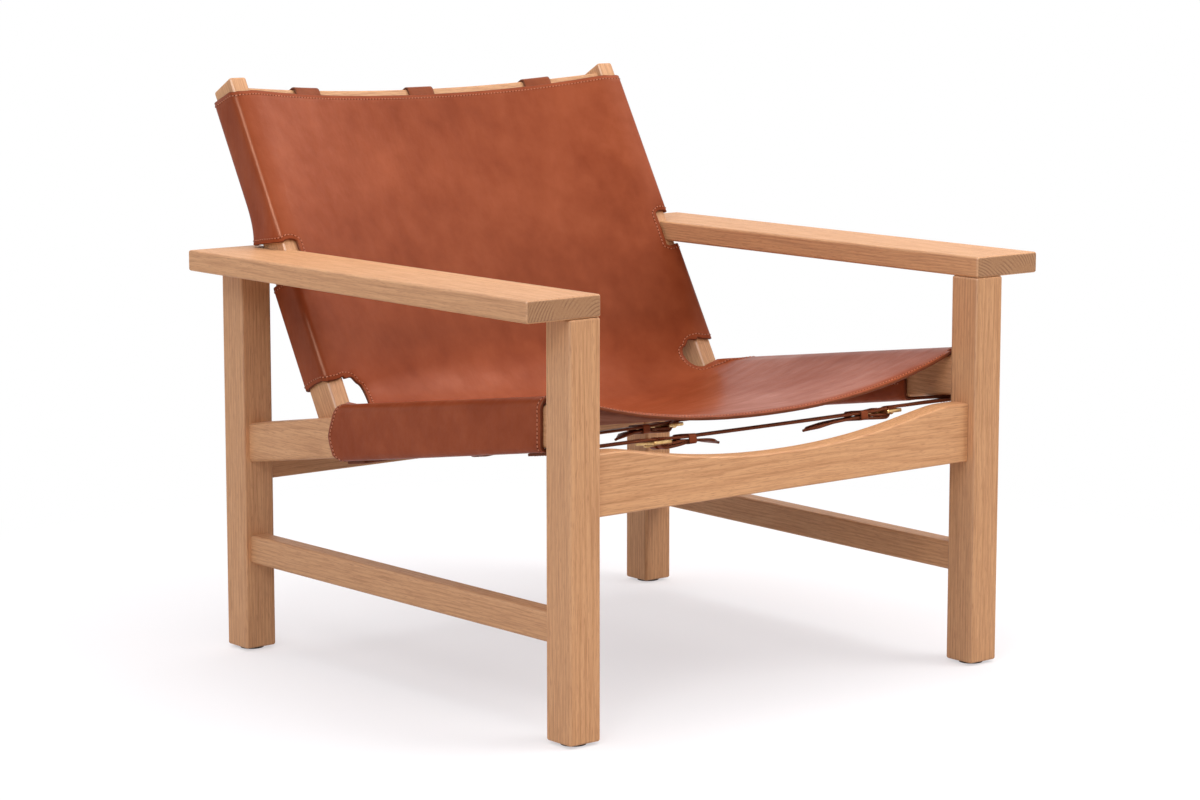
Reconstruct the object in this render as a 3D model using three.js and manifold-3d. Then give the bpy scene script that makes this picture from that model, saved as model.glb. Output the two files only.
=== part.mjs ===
import * as THREE from 'three';
import { mergeVertices } from 'three/addons/utils/BufferGeometryUtils.js';
import Module from 'manifold-3d';

// Leather sling lounge chair: an oak frame of legs, rails and raked back posts, and one piece
// of saddle leather that is buckled round the side rails and the posts.
// Millimetres. X runs to the viewer's right, Y from the front of the chair to its back, Z up.
// While the pieces are made, y is counted from the front faces of the front legs.

// Plan of the frame
const frontHalfWidth = 345;
const rearHalfWidth = 356.5;
const frameDepth = 690;
const legSide = 45;
const legEdge = 4;
const footEase = 3;
const glideHeight = 3;
const glideRadius = 15;
const fit = 0.3;
const cutOverrun = 20;
const cornerSteps = 2;

// Armrests
const armTop = 516;
const armThickness = 26;
const armWidth = 105.5;
const armEdge = 3;
const armCorner = 4;
const armTenonHeight = 17;
const armTenonSide = 24;

// Side rails and lower side stretchers
const sideInset = 8;
const sideRailWidth = 31;
const sideRailHeight = 50;
const sideRailTopAtFrontLeg = 389.4;
const sideRailFall = 0.1573;
const railEdge = 5;
const stretcherWidth = 27;
const stretcherHeight = 36;
const stretcherBottom = 114.5;
const stretcherEdge = 4;
const tenonThickness = 11;
const tenonLength = 24;
const tenonShoulder = 7;
const railRearTenonLength = 12;

// Front and rear aprons
const apronInset = 12.5;
const apronThickness = 28;
const apronBottom = 259.5;
const apronHeight = 73;
const apronDip = 28;
const apronFlat = 30;
const apronEase = 2.5;
const apronLeaveShare = 0.852;
const apronArriveShare = 0.574;
const rearApronBottom = 220;
const rearApronHeight = 64;

// Raked back posts and the bowed top rail. The posts' front line meets the floor ahead of the
// back of the frame; places along the posts are counted from there.
const rakeAngle = THREE.MathUtils.degToRad(29.7);
const rakeFootAhead = 378.4;
const postInnerHalf = 290.4;
const postWidth = 25;
const postDepth = 44;
const postEdge = 4;
const postFootLift = 20.745;
const postTop = 838;
const postStubHeight = 30;
const postStubLength = 12;
const postStubThickness = 14;
const topRailBelowTip = 60;
const topRailHeight = 49.3;
const topRailInset = 7.5;
const topRailThickness = 22;
const topRailEdge = 4;
const topRailBow = 26.5;
const topRailTenon = 14;
const topRailTenonHeight = 36;

// Sling
const leather = 4;
const sagPower = 2.2;
const slingFrontY = 50;
const railGapFront = 1.6;
const railGapGain = 11;
const seatSag = 46;
const seatExtraFall = 0.022;
const sideBendRadius = 40;
const centreBendRadius = 150;
const slingBelowTip = 21.5;
const slingTopDip = 3;
const backBowTop = 27.5;
const backBowGain = 8;
const backBowSpan = 363.5;
const wrapGap = 0.8;
const wrapBend = 7;
const seatWrapBend = 12;
const seatRidgeRise = 3.4;
const innerFlapHeight = 26;
const rearFlapReach = 24;
const notchInnerHalf = 263;
const notchRadius = 17;
const edgeDrift = 20;

// Leather loops over the top rail
const loopWidth = 42;
const loopThickness = 3;
const loopSpacing = 190;
const loopSteps = 6;

// Buckled straps
const strapWidth = 28;
const billetWidth = 26;
const billetRootWidth = 36;
const billetFlareLength = 34;
const billetTipLength = 16;
const strapThickness = 3.2;
const barRadius = 2;
const crossbarSize = 4.5;
const buckleReach = 22;
const buckleInnerHalf = 15.5;
const buckleArm = 4.5;
const buckleCorner = 5;
const buckleEase = 1;
const foldReturn = 28;
const keeperLength = 12;
const keeperWall = 2;
const keeperDistance = 32;
const keeperSink = 0.1;
const prongWidth = 4;
const prongWall = 1.6;
const prongThickness = 2.6;
const prongOverhang = 3.5;
const prongSlotSide = 0.9;
const prongRootShare = 0.7;
const prongTaperShare = 0.8;
const foldNeckShare = 2;
const foldShoulderShare = 0.8;
const billetCrownShare = 0.97;
const billetDipShare = 0.6;
const billetLeaveAngle = 25;

// The straps' places along the rails and posts, and their buckles' places across the chair
const frontStrapY = 76;
const rearStrapFromBack = 265;
const lowerStrapAboveFoot = 155;
const upperStrapBelowRail = 88;
const frontBarLeft = 150;
const frontBarRight = 205;
const frontTailLeft = 90;
const frontTailRight = 128;
const rearBarX = 150;
const backBarX = 100;
const billetTail = 80;
const billetMargin = 6;

// Colours and finishes
const oak = { color: 0xc89b6c, roughness: 0.55, metalness: 0 };
const hide = { color: 0x9c4f2c, roughness: 0.42, metalness: 0 };
const hideDark = { color: 0x6e3420, roughness: 0.5, metalness: 0 };
const brass = { color: 0xc8a25a, roughness: 0.3, metalness: 1 };
const felt = { color: 0x4a4038, roughness: 0.95, metalness: 0 };

const wasm = await Module();
wasm.setup();

const chair = new THREE.Group();
const armUnderside = armTop - armThickness;
const innerHalf = frontHalfWidth - legSide;
const rearInnerHalf = rearHalfWidth - legSide;
const rearLegFront = frameDepth - legSide;
const sideSplay = (rearHalfWidth - frontHalfWidth) / (frameDepth - legSide);
const sides = { left: -1, right: 1 };
const rakeFootY = frameDepth - rakeFootAhead;
const topRailBottom = postTop - topRailBelowTip;
const slingTop = postTop - slingBelowTip;
const slingTopCentre = slingTop - slingTopDip;

// The back is worked in its own frame: x across, "off" square to the posts' front faces and
// rearward, and "run" along the posts, with zero where their front line meets the floor.
const backFrame = new THREE.Matrix4().makeBasis(
  new THREE.Vector3(1, 0, 0),
  new THREE.Vector3(0, Math.cos(rakeAngle), -Math.sin(rakeAngle)),
  new THREE.Vector3(0, Math.sin(rakeAngle), Math.cos(rakeAngle)),
).setPosition(0, rakeFootY, 0);

function backPoint(x, off, run) {
  return new THREE.Vector3(x, off, run).applyMatrix4(backFrame);
}

function toSolid(geometry) {
  const bare = geometry.clone();
  bare.deleteAttribute('normal');
  bare.deleteAttribute('uv');
  const merged = mergeVertices(bare);
  const mesh = new wasm.Mesh({
    numProp: 3,
    vertProperties: new Float32Array(merged.attributes.position.array),
    triVerts: new Uint32Array(merged.index.array),
  });
  return new wasm.Manifold(mesh);
}

function toGeometry(solid) {
  const mesh = solid.getMesh();
  const geometry = new THREE.BufferGeometry();
  geometry.setAttribute('position', new THREE.BufferAttribute(mesh.vertProperties, 3));
  geometry.setIndex(new THREE.BufferAttribute(mesh.triVerts, 1));
  geometry.computeVertexNormals();
  return geometry;
}

function join(first, ...others) {
  return others.reduce((sum, other) => sum.add(other), first);
}

function cut(first, ...others) {
  return others.reduce((rest, other) => rest.subtract(other), first);
}

function addPiece(name, solid, finish, parent = chair) {
  const geometry = solid.isBufferGeometry ? solid : toGeometry(solid);
  const mesh = new THREE.Mesh(geometry, new THREE.MeshStandardMaterial(finish));
  mesh.name = name;
  parent.add(mesh);
  return mesh;
}

// A rectangle whose corners are rounded in a few straight steps.
function roundedRect(width, height, radius) {
  const points = [];
  for (let corner = 0; corner < 4; corner += 1) {
    const across = Math.sign(Math.cos((corner + 0.5) * Math.PI / 2)) * (width / 2 - radius);
    const up = Math.sign(Math.sin((corner + 0.5) * Math.PI / 2)) * (height / 2 - radius);
    for (let step = 0; step <= cornerSteps; step += 1) {
      const angle = (corner + step / cornerSteps) * Math.PI / 2;
      const round = new THREE.Vector2(radius, 0).rotateAround(new THREE.Vector2(), angle);
      points.push(round.add(new THREE.Vector2(across, up)));
    }
  }
  return new THREE.Shape(points);
}

// Extrudes a shape, centred on its length; an ease rounds the end edges inside the outline.
function extrude(shape, length, ease = 0, steps = 1) {
  const geometry = new THREE.ExtrudeGeometry(shape, {
    depth: length - 2 * ease,
    steps,
    curveSegments: 1,
    bevelEnabled: ease > 0,
    bevelThickness: ease,
    bevelSize: ease,
    bevelOffset: -ease,
    bevelSegments: 1,
  });
  return geometry.translate(0, 0, ease - length / 2);
}

function box(x0, x1, y0, y1, z0, z1) {
  const geometry = new THREE.BoxGeometry(Math.abs(x1 - x0), Math.abs(y1 - y0), Math.abs(z1 - z0));
  return geometry.translate((x0 + x1) / 2, (y0 + y1) / 2, (z0 + z1) / 2);
}

// Shapes drawn in (x, z) or (along, across) planes are turned to where they lie.
const standing = new THREE.Matrix4().makeBasis(
  new THREE.Vector3(-1, 0, 0),
  new THREE.Vector3(0, 0, 1),
  new THREE.Vector3(0, 1, 0),
);
const crosswise = new THREE.Matrix4().makeBasis(
  new THREE.Vector3(0, 1, 0),
  new THREE.Vector3(0, 0, 1),
  new THREE.Vector3(1, 0, 0),
);
const ribbonwise = new THREE.Matrix4().makeBasis(
  new THREE.Vector3(1, 0, 0),
  new THREE.Vector3(0, 0, 1),
  new THREE.Vector3(0, -1, 0),
);

// Side frames: what lies between a front and a rear leg toes out with the rear legs.
function splayAt(y) {
  return sideSplay * (y - legSide / 2);
}

function railTopAt(y) {
  return sideRailTopAtFrontLeg - sideRailFall * (y - legSide);
}

function railOuterAt(y) {
  return frontHalfWidth - sideInset + splayAt(y);
}

function railInnerAt(y) {
  return railOuterAt(y) - sideRailWidth;
}

function sideShear(side, fall) {
  const shear = new THREE.Matrix4();
  shear.makeShear(0, 0, side * sideSplay, -fall, 0, 0);
  return shear.setPosition(-side * sideSplay * legSide / 2, 0, fall * legSide);
}

// A bar between a front and a rear leg with a tenon at each end. grow widens it all round, to
// cut the mortises that it fits.
function sideBar(side, bar, grow = 0) {
  const middle = side * (frontHalfWidth - sideInset - bar.width / 2);
  const length = rearLegFront - legSide - 2 * fit;
  const blank = extrude(roundedRect(bar.width, bar.height, bar.edge), length);
  blank.applyMatrix4(standing);
  blank.translate(middle, legSide + fit + length / 2, bar.top - bar.height / 2);
  const half = tenonThickness / 2 + grow;
  const high = bar.top - tenonShoulder + grow;
  const low = bar.top - bar.height + tenonShoulder - grow;
  const tenon = box(middle - half, middle + half, legSide - bar.frontTenon - grow,
    rearLegFront + bar.rearTenon + grow, low, high);
  const shear = sideShear(side, bar.fall);
  return { body: toSolid(blank.applyMatrix4(shear)), tenon: toSolid(tenon.applyMatrix4(shear)) };
}

const seatRailBar = {
  width: sideRailWidth, height: sideRailHeight, edge: railEdge, top: sideRailTopAtFrontLeg,
  fall: sideRailFall, frontTenon: tenonLength, rearTenon: railRearTenonLength,
};
const stretcherBar = {
  width: stretcherWidth, height: stretcherHeight, edge: stretcherEdge,
  top: stretcherBottom + stretcherHeight, fall: 0, frontTenon: tenonLength, rearTenon: tenonLength,
};

// Aprons between the two front or the two rear legs.
function apronTenon(half, y, low, high, grow) {
  return toSolid(box(-half - tenonLength - grow, half + tenonLength + grow,
    y - tenonThickness / 2 - grow, y + tenonThickness / 2 + grow,
    low + tenonShoulder - grow, high - tenonShoulder + grow));
}

const frontApronY = apronInset + apronThickness / 2;
const rearApronY = frameDepth - apronInset - apronThickness / 2;
const apronTop = apronBottom + apronHeight;

function frontApronTenon(grow = 0) {
  return apronTenon(innerHalf, frontApronY, apronBottom, apronTop, grow);
}

function rearApronTenon(grow = 0) {
  return apronTenon(rearInnerHalf, rearApronY, rearApronBottom,
    rearApronBottom + rearApronHeight, grow);
}

// The top edge leaves each end level, swings down in an S and runs into one long hollow.
function frontApronShape() {
  const end = innerHalf + cutOverrun;
  const bend = innerHalf - apronFlat;
  const low = apronTop - apronDip;
  const shape = new THREE.Shape();
  shape.moveTo(-end, apronBottom);
  shape.lineTo(end, apronBottom);
  shape.lineTo(end, apronTop);
  shape.lineTo(bend, apronTop);
  shape.bezierCurveTo(bend * apronLeaveShare, apronTop, bend * apronArriveShare, low, 0, low);
  shape.bezierCurveTo(-bend * apronArriveShare, low, -bend * apronLeaveShare, apronTop, -bend, apronTop);
  shape.lineTo(-end, apronTop);
  return shape;
}

function apron(outline, half, y, tenon) {
  const board = new THREE.ExtrudeGeometry(outline, {
    depth: apronThickness - 2 * apronEase,
    curveSegments: 8,
    bevelThickness: apronEase,
    bevelSize: apronEase,
    bevelOffset: -apronEase,
    bevelSegments: 1,
  });
  board.translate(0, 0, apronEase - apronThickness / 2).applyMatrix4(standing).translate(0, y, 0);
  const far = half + 2 * cutOverrun;
  const deep = apronThickness;
  const ends = Object.values(sides).map((side) => toSolid(
    box(side * (half - fit), side * far, y - deep, y + deep, 0, armTop),
  ));
  return join(cut(toSolid(board), ...ends), tenon);
}

function rearApronShape() {
  const shape = roundedRect(2 * (rearInnerHalf + cutOverrun), rearApronHeight, apronEase);
  const points = shape.getPoints(1);
  const middle = rearApronBottom + rearApronHeight / 2;
  return new THREE.Shape(points.map((point) => new THREE.Vector2(point.x, point.y + middle)));
}

// Legs: square posts with rounded edges and eased feet, tenoned up into the armrest.
function legCentre(side, rear) {
  const half = rear ? rearHalfWidth : frontHalfWidth;
  const y = rear ? frameDepth - legSide / 2 : legSide / 2;
  return { x: side * (half - legSide / 2), y };
}

function armTenon(side, rear, grow = 0) {
  const { x, y } = legCentre(side, rear);
  const half = armTenonSide / 2 + grow;
  return toSolid(box(x - half, x + half, y - half, y + half,
    armUnderside - cutOverrun, armUnderside + armTenonHeight + grow));
}

function leg(side, rear) {
  const { x, y } = legCentre(side, rear);
  const low = glideHeight + fit;
  const high = armUnderside + footEase;
  const blank = extrude(roundedRect(legSide, legSide, legEdge), high - low, footEase);
  blank.translate(x, y, (low + high) / 2);
  const above = box(x - legSide, x + legSide, y - legSide, y + legSide,
    armUnderside - fit, armTop + cutOverrun);
  const mortises = [sideBar(side, seatRailBar, fit).tenon, sideBar(side, stretcherBar, fit).tenon];
  mortises.push(rear ? rearApronTenon(fit) : frontApronTenon(fit));
  return cut(join(cut(toSolid(blank), toSolid(above)), armTenon(side, rear)), ...mortises);
}

// Back posts: a raked bar, its foot housed in the inner face of the side rail and held there by
// a stub tenon. The foot ends a little above the place where the post's front meets the rail's
// underside.
const railUnderFoot = railTopAt(rakeFootY) - sideRailHeight;
const footRun = railUnderFoot / (Math.cos(rakeAngle) + sideRailFall * Math.sin(rakeAngle));
const postFoot = footRun + postFootLift;

function postBlank(side, grow = 0) {
  const length = postTop - postFoot + 2 * grow;
  const section = roundedRect(postWidth + 2 * grow, postDepth + 2 * grow, postEdge);
  const blank = extrude(section, length, grow > 0 ? 0 : footEase);
  const middle = side * (postInnerHalf + postWidth / 2);
  blank.translate(middle, postDepth / 2, (postTop + postFoot) / 2);
  return toSolid(blank.applyMatrix4(backFrame));
}

function postStub(side, grow = 0) {
  const start = postInnerHalf + postWidth / 2;
  const end = postInnerHalf + postWidth + postStubLength + grow;
  const middle = postFoot + sideRailHeight / 2;
  const high = postStubHeight / 2 + grow;
  const deep = postStubThickness / 2 + grow;
  const stub = box(side * start, side * end, postDepth / 2 - deep, postDepth / 2 + deep,
    middle - high, middle + high);
  return toSolid(stub.applyMatrix4(backFrame));
}

// The top rail is bowed rearward between the posts.
function bowAt(x) {
  return topRailBow * (1 - (Math.abs(x) / postInnerHalf) ** 2);
}

function bendToBow(geometry, slackAt = () => 0) {
  const position = geometry.attributes.position;
  const frontFace = topRailInset - fit / 2;
  for (let i = 0; i < position.count; i += 1) {
    const x = position.getX(i);
    const off = position.getY(i);
    position.setY(i, off + bowAt(x) - (off < frontFace ? slackAt(x) : 0));
  }
  return geometry.applyMatrix4(backFrame);
}

function topRailTenons(grow = 0) {
  const middle = topRailBottom + topRailHeight / 2;
  const high = topRailTenonHeight / 2 + grow;
  const near = topRailInset + topRailThickness / 2 - tenonThickness / 2 - grow;
  const far = near + tenonThickness + 2 * grow;
  return Object.values(sides).map((side) => {
    const start = side * (postInnerHalf - topRailTenon);
    const end = side * (postInnerHalf + topRailTenon + grow);
    return toSolid(box(start, end, near, far, middle - high, middle + high).applyMatrix4(backFrame));
  });
}

function topRail() {
  const section = roundedRect(topRailThickness, topRailHeight, topRailEdge);
  const length = 2 * (postInnerHalf - fit);
  const bowSteps = 20;
  const blank = extrude(section, length, 0, bowSteps).applyMatrix4(crosswise);
  blank.translate(0, topRailInset + topRailThickness / 2, topRailBottom + topRailHeight / 2);
  return join(toSolid(bendToBow(blank)), ...topRailTenons());
}

// Armrests: flat boards, flush with the front legs inside and overhanging them outside, notched
// round the raked posts near the back.
function armrest(side) {
  const board = extrude(roundedRect(armWidth, frameDepth, armCorner), armThickness, armEdge);
  board.translate(side * (innerHalf + armWidth / 2), frameDepth / 2, armTop - armThickness / 2);
  return cut(toSolid(board), postBlank(side, fit), armTenon(side, false, fit), armTenon(side, true, fit));
}

// Sling. Its middle surface runs between two profiles: one along the rails and posts, where it
// is held, and one down the middle of the chair, where it hangs slack.
function line(point, direction, distance) {
  return point.clone().addScaledVector(direction, distance);
}

// A seat line and a back line joined by an arc. Each is given by a point and a direction in
// (y, z); the result gives the place at a share of the seat, bend or back stretch.
function profile(front, seatDirection, top, backDirection, radius) {
  const across = seatDirection.x * backDirection.y - seatDirection.y * backDirection.x;
  const gap = top.clone().sub(front);
  const reach = (gap.x * backDirection.y - gap.y * backDirection.x) / across;
  const corner = line(front, seatDirection, reach);
  const turn = Math.acos(seatDirection.dot(backDirection));
  const tangent = radius * Math.tan(turn / 2);
  const bendStart = line(corner, seatDirection, -tangent);
  const bendEnd = line(corner, backDirection, tangent);
  const centre = line(bendStart, new THREE.Vector2(-seatDirection.y, seatDirection.x), radius);
  const startAngle = Math.atan2(bendStart.y - centre.y, bendStart.x - centre.x);
  const places = {
    seat: (share) => front.clone().lerp(bendStart, share),
    bend: (share) => {
      const spoke = new THREE.Vector2(radius, 0);
      return spoke.rotateAround(new THREE.Vector2(), startAngle + turn * share).add(centre);
    },
    back: (share) => bendEnd.clone().lerp(top, share),
  };
  return { places, bendStart, bendEnd };
}

// How far the middle of the back bellies rearward of the posts' front faces.
function slackOffAt(run) {
  return backBowTop + backBowGain * (slingTopCentre - run) / backBowSpan;
}

function backPlace(off, run) {
  const point = backPoint(0, off, run);
  return new THREE.Vector2(point.y, point.z);
}

const halfLeather = leather / 2;
const upPost = new THREE.Vector2(Math.sin(rakeAngle), Math.cos(rakeAngle));
const gapFall = railGapGain / (frameDepth - legSide);
const heldFront = new THREE.Vector2(slingFrontY, railTopAt(slingFrontY) + railGapFront + halfLeather);
const heldOff = -wrapGap - halfLeather;
const held = profile(heldFront, new THREE.Vector2(1, gapFall - sideRailFall).normalize(),
  backPlace(heldOff, slingTop), upPost, sideBendRadius);
const slackFront = new THREE.Vector2(slingFrontY, heldFront.y - seatSag);
const slackTop = backPlace(slackOffAt(slingTopCentre), slingTopCentre);
const slackLowRun = slingTopCentre - backBowSpan;
const slackLow = backPlace(slackOffAt(slackLowRun), slackLowRun);
const slack = profile(slackFront, new THREE.Vector2(1, -sideRailFall - seatExtraFall / 2).normalize(),
  slackTop, slackTop.clone().sub(slackLow).normalize(), centreBendRadius);

// Rows across the sling, as shares of each stretch, and which of them are wrapped.
const seatRowShares = [0, 0.0167, 0.186, 0.36, 0.54, 0.71, 0.86, 1];
const bendRowShares = [0.4, 0.6, 0.78, 0.92];
const backRowShares = [0.024, 0.135, 0.255, 0.373, 0.434, 0.492, 0.62, 0.75, 0.88, 1];
const panelColumnShares = [0, 0.25, 0.5, 0.7];
const rows = [
  ...seatRowShares.map((share) => ({ stretch: 'seat', share })),
  ...bendRowShares.map((share) => ({ stretch: 'bend', share })),
  ...backRowShares.map((share) => ({ stretch: 'back', share })),
];
const notchFoot = seatRowShares.length;
const notchHead = seatRowShares.length + bendRowShares.length;
const seatWrapRows = [1, notchFoot];
const lowerWrapRows = [notchHead, notchHead + 3];
const upperWrapRows = [notchHead + 5, rows.length - 1];
const drawnInRow = 4;

// How far each edge of the wraps drifts from its row, column by column, as shares of edgeDrift.
const seatRearDriftShares = [0, -1.5, -1.6, -1.5, -1.05, -1.5, -1.95, -2.2, -2.2, -2.2, -2.2, -2.3];
const lowerFootDriftShares = [0.2, 0.05, 0, 0, 0.15, 0.3, 0.3, 0.3, 0.3, 0.3, 0.3, 0.3];
const lowerHeadDriftShares = [0, -0.2, -0.1, -0.05, 0, 0.1, 0.15, 0.15, 0.15, 0.15, 0.15, 0.15];
const upperFootDriftShares = [-0.3, 0.1, 0.12, 0.05, 0.4, 0.85, 1, 1.05, 1.05, 1.05, 1.05, 1.05];
const upperHeadDriftShares = [0, -0.05, -0.05, -0.05, 0.1, 0.2, 0.3, 0.35, 0.35, 0.35, 0.35, 0.3];
const upperFootFlareShares = [0, 0, 0, 0, 0.2, 0.35, 0.38, 0.35, 0.3, 0.25, 0.15, 0];
const wrapColumns = seatRearDriftShares.length - 1;

function seatWrapSection(y) {
  const inner = railInnerAt(y);
  const outer = railOuterAt(y) + wrapGap + halfLeather;
  const top = railTopAt(y) + railGapFront + gapFall * (y - legSide) + halfLeather;
  const ridge = top + seatRidgeRise;
  const bottom = railTopAt(y) - sideRailHeight - wrapGap - halfLeather;
  const bare = inner - wrapGap - halfLeather;
  const corner = 1 - Math.SQRT1_2;
  return [
    [inner, top],
    [outer - seatWrapBend, ridge],
    [outer - seatWrapBend * corner, ridge - seatWrapBend * corner],
    [outer, ridge - seatWrapBend],
    [outer, (ridge + bottom) / 2],
    [outer, bottom + wrapBend],
    [outer - wrapBend * corner, bottom + wrapBend * corner],
    [outer - wrapBend, bottom],
    [bare + wrapBend, bottom],
    [bare + wrapBend * corner, bottom + wrapBend * corner],
    [bare, bottom + wrapBend],
    [bare, bottom + innerFlapHeight],
  ];
}

function backWrapSection() {
  const outer = postInnerHalf + postWidth + wrapGap + halfLeather;
  const behind = postDepth + wrapGap + halfLeather;
  const corner = 1 - Math.SQRT1_2;
  return [
    [postInnerHalf, heldOff],
    [postInnerHalf + postWidth / 2, heldOff],
    [outer - wrapBend, heldOff],
    [outer - wrapBend * corner, heldOff + wrapBend * corner],
    [outer, heldOff + wrapBend],
    [outer, postDepth / 2],
    [outer, behind - wrapBend],
    [outer - wrapBend * corner, behind - wrapBend * corner],
    [outer - wrapBend, behind],
    [postInnerHalf, behind],
    [postInnerHalf - rearFlapReach / 2, behind],
    [postInnerHalf - rearFlapReach, behind],
  ];
}

function seatWrapPoint(side, row, column) {
  const { stretch, share } = rows[row];
  const drawIn = Math.max(0, (row - drawnInRow) / (notchFoot - drawnInRow));
  const y = held.places[stretch](share).x + drawIn * seatRearDriftShares[column] * edgeDrift;
  const [x, z] = seatWrapSection(y)[column];
  return new THREE.Vector3(side * x, y, z);
}

function backWrapPoint(side, row, column) {
  const drifts = {
    [lowerWrapRows[0]]: lowerFootDriftShares,
    [lowerWrapRows[1]]: lowerHeadDriftShares,
    [upperWrapRows[0]]: upperFootDriftShares,
    [upperWrapRows[1]]: upperHeadDriftShares,
  };
  const place = held.places.back(rows[row].share);
  const run = (place.y + heldOff * Math.sin(rakeAngle)) / Math.cos(rakeAngle);
  const drift = drifts[row] ? drifts[row][column] * edgeDrift : 0;
  const flare = row === upperWrapRows[0] ? upperFootFlareShares[column] * edgeDrift : 0;
  const [x, off] = backWrapSection()[column];
  return backPoint(side * (x + flare / 2), off + flare, run + drift);
}

function panelHalfAt(row) {
  const { stretch, share } = rows[row];
  if (stretch === 'seat') return railInnerAt(held.places.seat(share).x);
  if (stretch === 'back') return postInnerHalf;
  return THREE.MathUtils.lerp(railInnerAt(held.bendStart.x), postInnerHalf, share);
}

// The cut-out where the seat meets the back has a round inner end.
function notchEdgeAt(row) {
  if (row < notchFoot || row > notchHead) return notchInnerHalf;
  const across = 2 * (row - notchFoot) / (notchHead - notchFoot) - 1;
  return notchInnerHalf + notchRadius * (1 - Math.sqrt(1 - across * across));
}

function panelPoint(row, x) {
  const { stretch, share } = rows[row];
  const ratio = Math.min(1, Math.abs(x) / panelHalfAt(row));
  const place = slack.places[stretch](share).lerp(held.places[stretch](share), ratio ** sagPower);
  return new THREE.Vector3(x, place.x, place.y);
}

function inRows(row, [first, last]) {
  return row >= first && row <= last;
}

function wrapPoint(side, row, column) {
  if (inRows(row, seatWrapRows)) return seatWrapPoint(side, row, column);
  if (inRows(row, lowerWrapRows) || inRows(row, upperWrapRows)) return backWrapPoint(side, row, column);
  return null;
}

// Grid of points on the middle surface, from the end of the left wrap to that of the right.
function slingGrid() {
  const panel = panelColumnShares.length + 1;
  return rows.map((unused, row) => {
    const half = panelHalfAt(row);
    const steps = [...panelColumnShares.map((share) => share * half), notchEdgeAt(row), half];
    const points = [];
    for (let column = wrapColumns; column >= 1; column -= 1) points.push(wrapPoint(-1, row, column));
    for (let step = panel; step >= 1; step -= 1) points.push(panelPoint(row, -steps[step]));
    for (let step = 0; step <= panel; step += 1) points.push(panelPoint(row, steps[step]));
    for (let column = 1; column <= wrapColumns; column += 1) points.push(wrapPoint(1, row, column));
    return points;
  });
}

// Which cells of the grid are leather: not the notches, nor the turn-up beside the front legs.
const turnUpCells = 3;

function cellIsLeather(grid, row, column) {
  const last = grid[0].length - 2;
  const fromEdge = Math.min(column, last - column);
  const inNotch = row >= notchFoot && row < notchHead;
  if (fromEdge > wrapColumns) return true;
  if (fromEdge === wrapColumns) return !inNotch;
  if (row < seatWrapRows[0] || inNotch) return false;
  if (row >= lowerWrapRows[1] && row < upperWrapRows[0]) return false;
  return !(row === seatWrapRows[0] && fromEdge < turnUpCells);
}

// Gives a sheet of grid cells its thickness: two faces and a wall along every open edge.
function thicken(grid, isCell, thickness) {
  const width = grid[0].length;
  const normals = grid.map((points) => points.map(() => new THREE.Vector3()));
  const cells = [];
  for (let row = 0; row < grid.length - 1; row += 1) {
    for (let column = 0; column < width - 1; column += 1) {
      if (!isCell(grid, row, column)) continue;
      const ring = [[row, column], [row, column + 1], [row + 1, column + 1], [row + 1, column]];
      const [a, b, c, d] = ring.map(([i, j]) => grid[i][j]);
      const normal = new THREE.Vector3().crossVectors(c.clone().sub(a), d.clone().sub(b));
      ring.forEach(([i, j]) => normals[i][j].add(normal.normalize()));
      cells.push(ring);
    }
  }
  const ids = new Map();
  const positions = [];
  const place = (i, j, side) => {
    const key = `${i},${j},${side}`;
    if (!ids.has(key)) {
      const shift = normals[i][j].clone().normalize().multiplyScalar(side * thickness / 2);
      ids.set(key, positions.length / 3);
      positions.push(...grid[i][j].clone().add(shift).toArray());
    }
    return ids.get(key);
  };
  const edges = new Set();
  cells.forEach((ring) => ring.forEach((corner, k) => edges.add(`${corner};${ring[(k + 1) % 4]}`)));
  const index = [];
  cells.forEach((ring) => {
    const [a, b, c, d] = ring.map(([i, j]) => place(i, j, 1));
    const [e, f, g, h] = ring.map(([i, j]) => place(i, j, -1));
    index.push(a, b, c, a, c, d, e, g, f, e, h, g);
    ring.forEach((corner, k) => {
      const next = ring[(k + 1) % 4];
      if (edges.has(`${next};${corner}`)) return;
      const upper = [place(...corner, 1), place(...next, 1)];
      const lower = [place(...corner, -1), place(...next, -1)];
      index.push(upper[0], lower[0], lower[1], upper[0], lower[1], upper[1]);
    });
  });
  const geometry = new THREE.BufferGeometry();
  geometry.setAttribute('position', new THREE.Float32BufferAttribute(positions, 3));
  geometry.setIndex(index);
  geometry.computeVertexNormals();
  return geometry;
}

// Loops: closed leather rings round the top rail, their front part against the sling.
function slingBackAt(x) {
  const middle = slackOffAt(topRailBottom - loopThickness);
  const ratio = (Math.abs(x) / postInnerHalf) ** sagPower;
  return THREE.MathUtils.lerp(middle, heldOff, ratio) + halfLeather;
}

function loop(x) {
  const ring = roundedRect(topRailThickness + 2 * (fit + loopThickness),
    topRailHeight + 2 * (fit + loopThickness), topRailEdge + loopThickness);
  ring.holes.push(roundedRect(topRailThickness + 2 * fit, topRailHeight + 2 * fit, topRailEdge));
  const blank = extrude(ring, loopWidth, 0, loopSteps).applyMatrix4(crosswise);
  blank.translate(x, topRailInset + topRailThickness / 2, topRailBottom + topRailHeight / 2);
  const slackAt = (at) => Math.max(0,
    topRailInset + bowAt(at) - fit - loopThickness - slingBackAt(at) - fit);
  return toSolid(bendToBow(blank, slackAt));
}

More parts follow.
